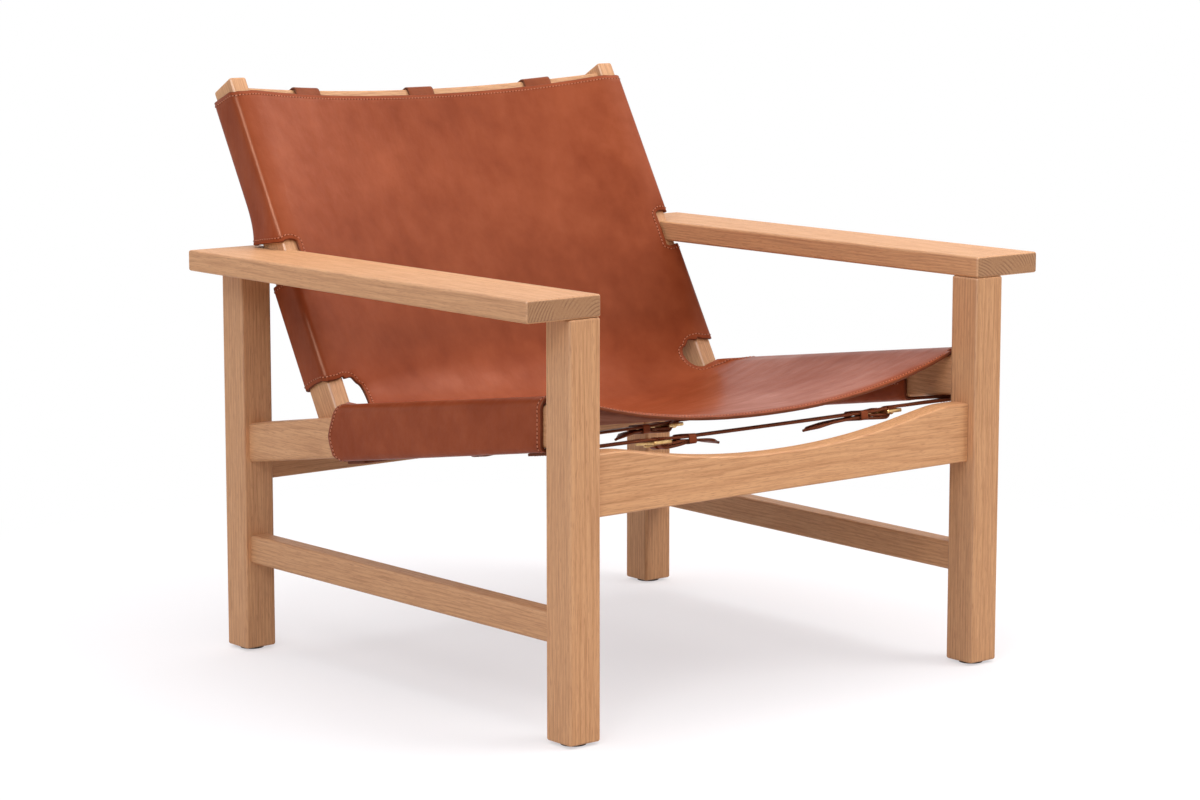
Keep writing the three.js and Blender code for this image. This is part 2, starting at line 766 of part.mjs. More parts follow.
// Buckled straps. Each set is worked in its own frame: x along the strap, y across it and z
// away from the sling, with zero in the middle plane of the two buckle frames.
const halfStrap = strapThickness / 2;
const foldRadius = barRadius + fit + halfStrap;
const layerOff = (strapThickness + fit) / 2;
const billetOverFold = foldRadius + halfStrap + fit + halfStrap;
const billetUnderCrossbar = -(crossbarSize / 2 + fit + halfStrap);
const billetInKeeper = layerOff + fit + halfStrap / 2;
const foldNeck = foldRadius * foldNeckShare;
const foldShoulder = foldRadius * foldShoulderShare;

// A strip of even width whose middle line is a list of [along, off] points.
function ribbon(points, width) {
  const middle = points.map(([along, off]) => new THREE.Vector2(along, off));
  const outer = [];
  const inner = [];
  middle.forEach((point, i) => {
    const before = middle[Math.max(0, i - 1)];
    const after = middle[Math.min(middle.length - 1, i + 1)];
    const from = point.clone().sub(before).normalize();
    const to = after.clone().sub(point).normalize();
    const direction = from.add(to).normalize();
    const normal = new THREE.Vector2(-direction.y, direction.x);
    outer.push(point.clone().addScaledVector(normal, halfStrap));
    inner.unshift(point.clone().addScaledVector(normal, -halfStrap));
  });
  return toSolid(extrude(new THREE.Shape([...outer, ...inner]), width).applyMatrix4(ribbonwise));
}

function arcPoints(radius, start, end, steps) {
  const points = [];
  for (let i = 0; i <= steps; i += 1) {
    const angle = THREE.MathUtils.degToRad(THREE.MathUtils.lerp(start, end, i / steps));
    points.push([radius * Math.cos(angle), radius * Math.sin(angle)]);
  }
  return points;
}

// One end of the centre strap: it folds round the bar and comes back on the outer side.
function foldedEnd(bar, way) {
  const points = [
    [-foldReturn, layerOff],
    [-foldNeck, foldShoulder],
    ...arcPoints(foldRadius, 90, -90, 4),
    [-foldNeck, -foldShoulder],
    [-foldReturn, -layerOff],
  ];
  return points.map(([along, off]) => [bar + way * along, off]);
}

function keeper(bar, way) {
  const billetTop = billetInKeeper + halfStrap;
  const low = -layerOff - halfStrap + keeperSink;
  const high = billetTop + fit;
  const height = high - low;
  const hole = new THREE.Path();
  const half = strapWidth / 2 - fit / 2;
  const shape = roundedRect(2 * (half + keeperWall), height + 2 * keeperWall, keeperWall / 2);
  hole.moveTo(-half, -height / 2);
  hole.lineTo(half, -height / 2);
  hole.lineTo(half, height / 2);
  hole.lineTo(-half, height / 2);
  shape.holes.push(hole);
  const ring = extrude(shape, keeperLength).applyMatrix4(crosswise);
  const middle = bar - way * (keeperDistance + keeperLength / 2);
  return toSolid(ring.translate(middle, 0, (low + high) / 2));
}

function prongSlot(bar, way, from, to) {
  const half = prongWidth / 2 + prongSlotSide;
  const far = buckleReach + foldReturn;
  return toSolid(box(bar + way * from, bar + way * to, -half, half, -far, far));
}

function centreStrap(leftBar, rightBar) {
  const points = [...foldedEnd(leftBar, -1), ...foldedEnd(rightBar, 1).reverse()];
  const band = cut(ribbon(points, strapWidth),
    prongSlot(leftBar, -1, -foldNeck, foldNeck), prongSlot(rightBar, 1, -foldNeck, foldNeck));
  return join(band, keeper(leftBar, -1), keeper(rightBar, 1));
}

// A billet comes from the flap, passes behind the crossbar, climbs over the fold and runs
// through the keeper to a loose, pointed tail.
function billet(bar, way, root, tail) {
  const far = way * root - way * bar;
  const points = [
    [-tail, billetInKeeper + billetOverFold],
    [-(tail + keeperDistance + keeperLength) / 2, billetInKeeper + halfStrap],
    [-keeperDistance - keeperLength, billetInKeeper],
    [-keeperDistance, billetInKeeper],
    [-foldReturn - halfStrap / 2, layerOff + strapThickness + fit],
    [-foldNeck, billetOverFold * billetCrownShare],
    ...arcPoints(billetOverFold, 90, billetLeaveAngle, 3),
    [buckleReach - 2 * strapThickness, billetUnderCrossbar * billetDipShare],
    [buckleReach - strapThickness, billetUnderCrossbar],
    [buckleReach + strapThickness, billetUnderCrossbar - fit],
    [buckleReach + 3 * strapThickness, billetUnderCrossbar],
    [far, billetUnderCrossbar],
  ];
  const strip = ribbon(points.map(([along, off]) => [bar + way * along, off]), billetRootWidth);
  const half = billetWidth / 2;
  const flare = far - billetFlareLength;
  const outline = [
    [-tail - fit, 0], [-tail + billetTipLength, half], [flare - billetFlareLength, half],
    [flare, billetRootWidth / 2], [far + fit, billetRootWidth / 2],
  ];
  const mirrored = outline.slice(1).reverse().map(([along, across]) => [along, -across]);
  const plan = [...outline, ...mirrored];
  const blade = extrude(new THREE.Shape(
    plan.map(([along, across]) => new THREE.Vector2(bar + way * along, across)),
  ), 2 * foldReturn);
  const shaped = strip.intersect(toSolid(blade));
  return cut(shaped, prongSlot(bar, way, -strapThickness, buckleReach - strapThickness));
}

// Buckle frame: a flat cast U whose open end carries the round bar.
function buckleFrame(bar, way) {
  const half = buckleInnerHalf + buckleArm;
  const end = buckleReach + crossbarSize / 2;
  const inside = buckleReach - crossbarSize / 2;
  const heel = -buckleArm / 2;
  const outline = [
    [heel, -half], [end - buckleCorner, -half], [end, buckleCorner - half],
    [end, half - buckleCorner], [end - buckleCorner, half], [heel, half],
    [heel, buckleInnerHalf], [inside, buckleInnerHalf], [inside, -buckleInnerHalf],
    [heel, -buckleInnerHalf],
  ];
  const shape = new THREE.Shape(
    outline.map(([along, across]) => new THREE.Vector2(bar + way * along, across)),
  );
  const round = new THREE.CylinderGeometry(barRadius, barRadius, 2 * buckleInnerHalf + buckleArm, 12);
  round.translate(bar, 0, 0);
  return join(toSolid(extrude(shape, crossbarSize, buckleEase)), toSolid(round));
}

// Prong: an eye round the bar and a shank that rests on the crossbar. It is made about the bar.
function prong(way) {
  const eyeInner = barRadius + fit;
  const eyeOuter = eyeInner + prongWall;
  const rest = crossbarSize / 2 + fit;
  const tip = buckleReach + prongOverhang;
  const root = eyeInner * prongRootShare;
  const eye = new THREE.Shape();
  eye.absarc(0, 0, eyeOuter, 0, 2 * Math.PI);
  const bore = new THREE.Path();
  bore.absarc(0, 0, eyeInner, 0, 2 * Math.PI);
  const ring = new THREE.ExtrudeGeometry(eye, {
    depth: prongWidth,
    curveSegments: 7,
    bevelEnabled: false,
  });
  const hole = new THREE.CylinderGeometry(eyeInner, eyeInner, 2 * prongWidth, 14);
  ring.translate(0, 0, -prongWidth / 2).applyMatrix4(ribbonwise);
  const shank = extrude(new THREE.Shape([
    new THREE.Vector2(0, root), new THREE.Vector2(way * tip, rest),
    new THREE.Vector2(way * tip, rest + prongThickness / 2),
    new THREE.Vector2(way * buckleReach, rest + prongThickness),
    new THREE.Vector2(0, root + prongThickness * prongTaperShare),
  ]), prongWidth * prongTaperShare).applyMatrix4(ribbonwise);
  return cut(join(toSolid(ring), toSolid(shank)), toSolid(hole));
}

function strapSet(name, frame, bars, roots, tails) {
  const set = new THREE.Group();
  set.applyMatrix4(frame);
  chair.add(set);
  addPiece(`strap_${name}`, centreStrap(bars.left, bars.right), hideDark, set);
  Object.entries(sides).forEach(([word, way]) => {
    addPiece(`billet_${name}_${word}`, billet(bars[word], way, roots[word], tails[word]), hideDark, set);
    addPiece(`buckle_${name}_${word}`, buckleFrame(bars[word], way), brass, set);
    addPiece(`prong_${name}_${word}`, prong(way), brass, set).position.x = bars[word];
  });
}

// Under the seat a set lies along the bottom of the side rails, and behind the back against the
// rear flaps; the billets lie flat on the flap that they are sewn to.
const billetStack = wrapGap + leather + fit + halfStrap - billetUnderCrossbar;
const railAngle = Math.atan(sideRailFall);

function underSeatFrame(y) {
  const down = new THREE.Vector3(0, -Math.sin(railAngle), -Math.cos(railAngle));
  const along = new THREE.Vector3(1, 0, 0);
  const frame = new THREE.Matrix4().makeBasis(along, down.clone().cross(along), down);
  const bottom = new THREE.Vector3(0, y, railTopAt(y) - sideRailHeight);
  return frame.setPosition(bottom.addScaledVector(down, billetStack));
}

function behindBackFrame(run) {
  const along = new THREE.Vector3(1, 0, 0);
  const rearward = new THREE.Vector3(0, Math.cos(rakeAngle), -Math.sin(rakeAngle));
  const frame = new THREE.Matrix4().makeBasis(along, rearward.clone().cross(along), rearward);
  return frame.setPosition(backPoint(0, postDepth + billetStack, run));
}

function symmetric(value) {
  return { left: -value, right: value };
}

function both(value) {
  return { left: value, right: value };
}

const rearStrapY = frameDepth - rearStrapFromBack;
const lowerStrapRun = postFoot + lowerStrapAboveFoot;
const upperStrapRun = topRailBottom - upperStrapBelowRail;
const frontBars = { left: -frontBarLeft, right: frontBarRight };
const frontTails = { left: frontTailLeft, right: frontTailRight };

// Assembly
Object.entries(sides).forEach(([word, side]) => {
  addPiece(`leg_front_${word}`, leg(side, false), oak);
  addPiece(`leg_rear_${word}`, leg(side, true), oak);
  addPiece(`armrest_${word}`, armrest(side), oak);
  const rail = sideBar(side, seatRailBar);
  addPiece(`seat_rail_${word}`,
    cut(join(rail.body, rail.tenon), postBlank(side, fit), postStub(side, fit)), oak);
  const stretcher = sideBar(side, stretcherBar);
  addPiece(`side_stretcher_${word}`, join(stretcher.body, stretcher.tenon), oak);
  addPiece(`back_post_${word}`,
    cut(join(postBlank(side), postStub(side)), ...topRailTenons(fit)), oak);
  ['front', 'rear'].forEach((end) => {
    const { x, y } = legCentre(side, end === 'rear');
    const disc = new THREE.CylinderGeometry(glideRadius, glideRadius, glideHeight, 24);
    disc.rotateX(Math.PI / 2);
    addPiece(`glide_${end}_${word}`, toSolid(disc), felt).position.set(x, y, glideHeight / 2);
  });
});
addPiece('front_apron', apron(frontApronShape(), innerHalf, frontApronY, frontApronTenon()), oak);
addPiece('rear_apron', apron(rearApronShape(), rearInnerHalf, rearApronY, rearApronTenon()), oak);
addPiece('top_rail', topRail(), oak);
addPiece('sling', thicken(slingGrid(), cellIsLeather, leather), hide);
[['left', -loopSpacing], ['middle', 0], ['right', loopSpacing]].forEach(([word, x]) => {
  addPiece(`loop_${word}`, loop(x), hideDark);
});
strapSet('seat_front', underSeatFrame(frontStrapY), frontBars,
  symmetric(railOuterAt(frontStrapY) - billetMargin), frontTails);
strapSet('seat_rear', underSeatFrame(rearStrapY), symmetric(rearBarX),
  symmetric(railOuterAt(rearStrapY) - billetMargin), both(billetTail));
strapSet('back_lower', behindBackFrame(lowerStrapRun), symmetric(backBarX),
  symmetric(postInnerHalf + postWidth - billetMargin), both(billetTail));
strapSet('back_upper', behindBackFrame(upperStrapRun), symmetric(backBarX),
  symmetric(postInnerHalf + postWidth - billetMargin), both(billetTail));

// The chair stands on the floor with its bounding box centred over the origin.
chair.updateMatrixWorld(true);
const bounds = new THREE.Box3().setFromObject(chair);
chair.position.y = -(bounds.min.y + bounds.max.y) / 2;

export default chair;
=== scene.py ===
import math
import random

import bmesh
import bpy
import numpy as np
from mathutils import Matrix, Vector


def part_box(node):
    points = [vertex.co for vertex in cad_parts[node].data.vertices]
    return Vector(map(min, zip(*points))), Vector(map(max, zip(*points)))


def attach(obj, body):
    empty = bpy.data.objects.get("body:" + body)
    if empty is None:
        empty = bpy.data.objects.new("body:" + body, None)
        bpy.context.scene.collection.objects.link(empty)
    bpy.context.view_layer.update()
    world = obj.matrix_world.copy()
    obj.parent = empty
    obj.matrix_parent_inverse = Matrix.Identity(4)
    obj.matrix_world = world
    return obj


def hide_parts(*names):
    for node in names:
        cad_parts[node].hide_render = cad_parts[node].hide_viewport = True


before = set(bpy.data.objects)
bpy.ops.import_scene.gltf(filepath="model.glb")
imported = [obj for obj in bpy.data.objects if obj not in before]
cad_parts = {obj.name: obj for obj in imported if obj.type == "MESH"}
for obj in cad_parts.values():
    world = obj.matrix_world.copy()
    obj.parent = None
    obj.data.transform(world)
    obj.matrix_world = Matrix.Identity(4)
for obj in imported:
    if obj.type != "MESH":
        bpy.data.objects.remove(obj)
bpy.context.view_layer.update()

scene = bpy.context.scene


# Legs. Each is a square post of solid oak with rounded long edges and an eased foot. A square
# tenon holds it up in the armrest, and rails, stretchers and aprons are tenoned into its sides.
front_half, rear_half, frame_depth = 0.345, 0.3565, 0.690
leg_side, leg_edge, leg_ease = 0.045, 0.004, 0.003
leg_foot, arm_underside = 0.0033, 0.490
front_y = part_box("armrest_left")[0].y
sides = {"left": -1, "right": 1}
round_steps = 6


def section_ring(width, height, radius):
    """Points round a rectangle with rounded corners, counterclockwise."""
    ring = []
    for corner in range(4):
        middle_u = (width / 2 - radius) * (1 if corner in (0, 3) else -1)
        middle_v = (height / 2 - radius) * (1 if corner in (0, 1) else -1)
        for step in range(round_steps + 1):
            angle = (corner + step / round_steps) * math.pi / 2
            ring.append((middle_u + radius * math.cos(angle), middle_v + radius * math.sin(angle)))
    return ring


def tube_faces(count, size, closed=False):
    """Faces between rings of points, which close on themselves or have a face over each end."""
    faces = []
    for i in range(count if closed else count - 1):
        here, there = i * size, (i + 1) % count * size
        for k in range(size):
            faces.append((here + k, here + (k + 1) % size, there + (k + 1) % size, there + k))
    if not closed:
        faces += [tuple(reversed(range(size))), tuple(range((count - 1) * size, count * size))]
    return faces


def bar(length, section, edge, ease, place, spans=1):
    """A wooden bar. section, or section(along), is its width, height and its middle's height."""
    quarter = [math.pi / 2 * step / round_steps for step in range(round_steps + 1)]
    starts = [(ease * (1 - math.cos(q)), ease * (1 - math.sin(q))) for q in quarter] if ease else [(0, 0)]
    stations = starts + [(length * i / spans, 0) for i in range(1, spans)]
    stations += [(length - along, inset) for along, inset in reversed(starts)]
    points = []
    for along, inset in stations:
        width, height, middle = section(along) if callable(section) else section
        ring = section_ring(width - 2 * inset, height - 2 * inset, max(edge - inset, edge / 4))
        points += [place(u, v + middle, along) for u, v in ring]
    size = 4 * (round_steps + 1)
    return points, tube_faces(len(stations), size)


def solid_mesh(name, solid):
    """A mesh from the points and faces of a solid, with its faces turned outwards."""
    points, faces = solid
    mesh = bpy.data.meshes.new(name)
    mesh.from_pydata([tuple(p) for p in points], [], faces)
    shell = bmesh.new()
    shell.from_mesh(mesh)
    bmesh.ops.recalc_face_normals(shell, faces=shell.faces)
    shell.to_mesh(mesh)
    shell.free()
    mesh.update()
    return mesh


def put(name, data):
    made = bpy.data.objects.new(name, data)
    scene.collection.objects.link(made)
    return made


def make_piece(name, solid, finishes, nodes, body="chair", sharp=40):
    """Makes an object of the chair from a solid and fixes it to a body."""
    mesh = solid_mesh(name, solid)
    mesh.polygons.foreach_set("use_smooth", [True] * len(mesh.polygons))
    mesh.set_sharp_from_angle(angle=math.radians(sharp))
    for finish in finishes:
        mesh.materials.append(finish)
    piece = put(name, mesh)
    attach(piece, body)
    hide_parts(*nodes)
    return piece


def add(tree, kind, inputs, **settings):
    """Adds a node, sets its options, and sets or links its inputs."""
    made = tree.nodes.new(kind)
    for key, value in settings.items():
        setattr(made, key, value)
    for key, value in inputs.items():
        if isinstance(value, bpy.types.NodeSocket):
            tree.links.new(value, made.inputs[key])
        else:
            made.inputs[key].default_value = value
    return made


def ramp(tree, factor, stops):
    """A colour ramp through the stops, each a place and a colour."""
    made = add(tree, "ShaderNodeValToRGB", {"Fac": factor})
    elements = made.color_ramp.elements
    while len(elements) < len(stops):
        elements.new(1)
    for element, (place, colour) in zip(elements, stops):
        element.position = place
        element.color = (*colour, 1)
    return made.outputs["Color"]


def new_finish(name):
    finish = bpy.data.materials.new(name)
    finish.use_nodes = True
    finish.node_tree.nodes.clear()
    return finish, finish.node_tree


def noise(tree, where, scale, detail, roughness=0.5):
    """A noise texture. scale is one number, or one for each axis."""
    if isinstance(scale, tuple):
        where = add(tree, "ShaderNodeMapping", {"Vector": where, "Scale": scale}).outputs["Vector"]
        scale = 1
    sockets = {"Vector": where, "Scale": scale, "Detail": detail, "Roughness": roughness}
    return add(tree, "ShaderNodeTexNoise", sockets).outputs["Fac"]


def calc(tree, operation, *values):
    return add(tree, "ShaderNodeMath", dict(enumerate(values)), operation=operation).outputs[0]


def rerange(tree, value, low, high, new_low=0, new_high=1, **settings):
    """A value moved from one range into another, and held there."""
    sockets = {0: value, 1: low, 2: high, 3: new_low, 4: new_high}
    return add(tree, "ShaderNodeMapRange", sockets, **settings).outputs[0]


def mix(tree, share, *colours):
    first, second = ((*colour, 1) if isinstance(colour, tuple) else colour for colour in colours)
    return add(tree, "ShaderNodeMix", {0: share, 6: first, 7: second}, data_type="RGBA").outputs[2]


def scaled(tree, colour, factor):
    return add(tree, "ShaderNodeVectorMath", {0: colour, 3: factor}, operation="SCALE").outputs[0]


def bump(tree, height, strength, distance, **under):
    sockets = {"Height": height, "Strength": strength, "Distance": distance, **under}
    return add(tree, "ShaderNodeBump", sockets).outputs["Normal"]


def finish_surface(tree, colour, rough, normal, others=()):
    sockets = {"Base Color": colour, "Roughness": rough, "Normal": normal, **dict(others)}
    surface = add(tree, "ShaderNodeBsdfPrincipled", sockets)
    add(tree, "ShaderNodeOutputMaterial", {"Surface": surface.outputs["BSDF"]})


oak_light, oak_mid, oak_line = (0.700, 0.365, 0.172), (0.615, 0.300, 0.130), (0.435, 0.187, 0.074)
oak_ring, oak_end_line = (0.480, 0.212, 0.086), (0.250, 0.098, 0.038)
ring_spacing, end_facing = 0.0042, 0.8


def oak_finish(name, on_end):
    """Oiled oak. The grain attribute gives each point's place in the log, the pith along its z."""
    finish, tree = new_finish(name)
    log = add(tree, "ShaderNodeAttribute", {}, attribute_name="grain").outputs["Vector"]
    flat = add(tree, "ShaderNodeVectorMath", {0: log, 1: (1, 1, 0)}, operation="MULTIPLY")
    radius = add(tree, "ShaderNodeVectorMath", {0: flat.outputs[0]}, operation="LENGTH")
    years = calc(tree, "MULTIPLY", radius.outputs["Value"], 1 / ring_spacing)
    wander = noise(tree, log, (9, 9, 2.2), 2)
    season = calc(tree, "FRACT", calc(tree, "MULTIPLY_ADD", wander, 11.0 if on_end else 5.0, years))
    bands = ramp(tree, season, [(0, oak_mid), (0.1, oak_ring), (0.3, oak_mid), (0.62, oak_light),
                                (0.95, oak_light), (1, oak_mid)])
    if on_end:
        lines = ramp(tree, season, [(0, oak_mid), (0.2, oak_end_line), (0.45, oak_mid),
                                    (0.8, oak_light), (1, oak_mid)])
        group = rerange(tree, noise(tree, log, (38, 38, 3), 2), 0.42, 0.56, 0.15, 1)
        bands = mix(tree, group, oak_mid, lines)
    fibre = noise(tree, log, (520, 520, 17), 3, 0.6)
    shade = ramp(tree, fibre, [(0.32, oak_line), (0.5, oak_mid), (0.7, oak_light)])
    open_pore = rerange(tree, noise(tree, log, (1500, 1500, 70), 1), 0.58, 0.69, 0, 0.78)
    wood = mix(tree, open_pore, mix(tree, 0.25 if on_end else 0.62, bands, shade), oak_line)
    darker = rerange(tree, noise(tree, log, (3.15, 3.15, 0.77), 1), 0.35, 0.65, 0.93, 1.05)
    if on_end:
        darker = calc(tree, "MULTIPLY", darker, 0.66)
    relief = calc(tree, "MULTIPLY_ADD", open_pore, -0.6, fibre)
    finish_surface(tree, scaled(tree, wood, darker), rerange(tree, fibre, 0.3, 0.7, 0.62, 0.46),
                   bump(tree, relief, 0.22, 0.0006))
    return finish


oak = oak_finish("oak", False)
oak_end = oak_finish("oak_end_grain", True)
log_draw = random.Random(11)
x_axis, y_axis, z_axis = Vector((1, 0, 0)), Vector((0, 1, 0)), Vector((0, 0, 1))


def lay_grain(piece, along, across, pith):
    """Gives each point its place in the log. pith is the way from the log's heart to the piece."""
    third = along.cross(across)
    points = np.array([v.co for v in piece.data.vertices])
    middle = (points.min(0) + points.max(0)) / 2
    axes = np.array([across, third, along])
    places = (points - middle) @ axes.T + (*pith, log_draw.uniform(0, 40))
    grain = piece.data.attributes.new("grain", "FLOAT_VECTOR", "POINT")
    grain.data.foreach_set("vector", places.astype(np.float32).ravel())
    for face in piece.data.polygons:
        face.material_index = int(abs(face.normal.dot(along)) > end_facing)
    soften = piece.modifiers.new("edge_shading", "WEIGHTED_NORMAL")
    soften.keep_sharp = True


def make_wood(name, solid, node, *grain):
    """An oak piece. Its grain is laid now, or later if something has still to be cut out of it."""
    piece = make_piece(name, solid, [oak, oak_end], [node])
    if grain:
        lay_grain(piece, *grain)
    return piece


for end, half in (("front", front_half), ("rear", rear_half)):
    for word, side in sides.items():
        leg_x = side * (half - leg_side / 2)
        leg_y = front_y + (leg_side / 2 if end == "front" else frame_depth - leg_side / 2)
        solid = bar(
            arm_underside - leg_foot, (leg_side, leg_side, 0), leg_edge, leg_ease,
            lambda u, v, along: Vector((leg_x + u, leg_y + v, leg_foot + along)),
        )
        make_wood(f"{end}_{word}_leg", solid, f"leg_{end}_{word}", z_axis, x_axis,
                  (0.06 * side, -0.09 if end == "front" else 0.07))


# Glides. A disc of dense felt is glued into the foot of each leg. It lifts the wood off the floor,
# and shows only as a thin dark gap.
felt, tree = new_finish("felt")
fuzz = add(tree, "ShaderNodeTexNoise", {"Scale": 1400, "Detail": 3}).outputs["Fac"]
felt_tone = ramp(tree, fuzz, [(0.3, (0.035, 0.028, 0.022)), (0.7, (0.085, 0.068, 0.055))])
finish_surface(tree, felt_tone, 0.95, bump(tree, fuzz, 0.6, 0.0004))
for end in ("front", "rear"):
    for word in sides:
        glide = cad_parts[f"glide_{end}_{word}"]
        glide.data.materials.clear()
        glide.data.materials.append(felt)


# Seat rails. The side rails fall towards the back, carry the seat leather over their tops, and
# are tenoned into the legs. The rear legs stand wider, so the rails toe out a little.
side_inset, rail_width, rail_height, rail_edge = 0.008, 0.031, 0.050, 0.005
rail_top_at_leg, rail_fall = 0.3894, 0.1573
joint_gap = 0.0003
splay = (rear_half - front_half) / (frame_depth - leg_side)
bar_length = frame_depth - 2 * leg_side - 2 * joint_gap


def rail_top(y):
    return rail_top_at_leg - rail_fall * (y - leg_side)


def rail_outer(y):
    return front_half - side_inset + splay * (y - leg_side / 2)


def side_bar(side, width, height, top, fall, edge):
    """A bar between the front and the rear leg of one side. Its y is counted from the frame's front."""
    def place(u, v, along):
        y = leg_side + joint_gap + along
        x = rail_outer(y) - width / 2 + u
        return Vector((side * x, front_y + y, top - height / 2 + v - fall * (y - leg_side)))

    return bar(bar_length, (width, height, 0), edge, 0, place)


seat_rails = {}
for word, side in sides.items():
    solid = side_bar(side, rail_width, rail_height, rail_top_at_leg, rail_fall, rail_edge)
    seat_rails[word] = make_wood(f"{word}_seat_rail", solid, f"seat_rail_{word}")


# Side stretchers. A plain oak bar joins each front leg to the rear leg behind it, near the floor,
# and is tenoned into both.
stretcher_width, stretcher_height, stretcher_top, stretcher_edge = 0.027, 0.036, 0.1505, 0.004
for word, side in sides.items():
    solid = side_bar(side, stretcher_width, stretcher_height, stretcher_top, 0, stretcher_edge)
    make_wood(f"{word}_side_stretcher", solid, f"side_stretcher_{word}", y_axis, x_axis, (0.07, 0.10))


# Aprons. Boards on edge join the two front and the two rear legs. The front one's top edge
# swings down from each leg into one long hollow, so that the seat clears it.
apron_inset, apron_thickness, apron_edge = 0.0125, 0.028, 0.0025
apron_bottom, apron_height, apron_dip, apron_flat = 0.2595, 0.073, 0.028, 0.030
rear_apron_bottom, rear_apron_height = 0.220, 0.064
leave_share, arrive_share = 0.852, 0.574
front_inner = front_half - leg_side
rear_inner = rear_half - leg_side
bend_x = front_inner - apron_flat
swing = np.linspace(0, 1, 200)
hollow_x = ((1 - swing) ** 3 * bend_x + 3 * (1 - swing) ** 2 * swing * bend_x * leave_share
            + 3 * (1 - swing) * swing ** 2 * bend_x * arrive_share)
hollow_z = apron_height - apron_dip * (3 * (1 - swing) * swing ** 2 + swing ** 3)


def front_apron_section(along):
    x = abs(along + joint_gap - front_inner)
    height = apron_height if x > bend_x else float(np.interp(x, hollow_x[::-1], hollow_z[::-1]))
    return apron_thickness, height, height / 2


def across_frame(y, bottom, inner):
    """Where a board between two legs lies: along x, its thickness along y."""
    return lambda u, v, along: Vector((along + joint_gap - inner, front_y + y - u, bottom + v))


front_apron_y = apron_inset + apron_thickness / 2
solid = bar(2 * (front_inner - joint_gap), front_apron_section, apron_edge, 0,
            across_frame(front_apron_y, apron_bottom, front_inner), spans=90)
make_wood("front_apron_board", solid, "front_apron", x_axis, y_axis, (-0.10, 0.05))
solid = bar(2 * (rear_inner - joint_gap), (apron_thickness, rear_apron_height, rear_apron_height / 2),
            apron_edge, 0, across_frame(frame_depth - front_apron_y, rear_apron_bottom, rear_inner))
make_wood("rear_apron_board", solid, "rear_apron", x_axis, y_axis, (0.12, 0.04))


# Back posts. Two raked oak bars; the foot of each is let into the inner face of its seat rail,
# and the armrest is notched round it.
rake = math.radians(29.7)
rake_foot_y = 0.3116
post_inner, post_width, post_depth, post_edge = 0.2904, 0.025, 0.044, 0.004
post_foot, post_top, post_ease = 0.335, 0.838, 0.003
up_post = Vector((0, math.sin(rake), math.cos(rake)))
behind_post = Vector((0, math.cos(rake), -math.sin(rake)))
rake_origin = Vector((0, front_y + rake_foot_y, 0))


def back_point(x, off, run):
    """x across, off square to the posts' front faces and rearward, run up along the posts."""
    return rake_origin + Vector((x, 0, 0)) + behind_post * off + up_post * run


def post_solid(side, grow):
    middle = side * (post_inner + post_width / 2)
    return bar(
        post_top - post_foot + 2 * grow, (post_width + 2 * grow, post_depth + 2 * grow, 0),
        post_edge, 0 if grow else post_ease,
        lambda u, v, along: back_point(middle + u, post_depth / 2 + v, post_foot - grow + along),
    )


def evaluated_mesh(piece):
    depsgraph = bpy.context.evaluated_depsgraph_get()
    return bpy.data.meshes.new_from_object(piece.evaluated_get(depsgraph))


def cut_out(piece, solid):
    """Cuts a solid out of a piece, as for a housing or a notch, and keeps the result as its mesh."""
    cutter = put("cutter", solid_mesh("cutter", solid))
    notch = piece.modifiers.new("notch", "BOOLEAN")
    notch.object, notch.operation, notch.solver = cutter, "DIFFERENCE", "EXACT"
    whole = evaluated_mesh(piece)
    piece.modifiers.remove(notch)
    piece.data = whole
    bpy.data.objects.remove(cutter)


for word, side in sides.items():
    make_wood(f"{word}_back_post", post_solid(side, 0), f"back_post_{word}", up_post, x_axis,
              (0.05, -0.08 * side))
    cut_out(seat_rails[word], post_solid(side, joint_gap))
    lay_grain(seat_rails[word], y_axis, z_axis, (0.05, 0.11 * side))


# Top rail. An oak bar, sawn to a bow, is tenoned between the posts' heads. The sling's top edge
# hangs from it by three loops.
top_rail_bottom, top_rail_height, top_rail_inset = 0.778, 0.0493, 0.0075
top_rail_thickness, top_rail_edge, top_rail_bow = 0.022, 0.004, 0.0265


def bow_at(x):
    return top_rail_bow * (1 - (x / post_inner) ** 2)


top_rail_off = top_rail_inset + top_rail_thickness / 2
top_rail_middle = top_rail_bottom + top_rail_height / 2


def top_rail_place(u, v, along):
    x = along + joint_gap - post_inner
    return back_point(x, top_rail_off - u + bow_at(x), top_rail_middle + v)


solid = bar(2 * (post_inner - joint_gap), (top_rail_thickness, top_rail_height, 0), top_rail_edge, 0,
            top_rail_place, spans=40)
make_wood("bowed_top_rail", solid, "top_rail", x_axis, z_axis, (0.07, 0.05))


# Armrests. Flat oak boards lie on the four legs, flush with them inside and overhanging them
# outside. Each is notched round its back post.
arm_top, arm_width, arm_edge, arm_ease = 0.516, 0.1055, 0.003, 0.003
arm_thickness = arm_top - arm_underside
for word, side in sides.items():
    arm_x = side * (front_inner + arm_width / 2)
    solid = bar(
        frame_depth, (arm_width, arm_thickness, 0), arm_edge, arm_ease,
        lambda u, v, along: Vector((arm_x - u, front_y + along, arm_top - arm_thickness / 2 + v)),
    )
    arm = make_wood(f"{word}_armrest", solid, f"armrest_{word}")
    cut_out(arm, post_solid(side, joint_gap))
    lay_grain(arm, y_axis, x_axis, (0.06 * side, -0.05))


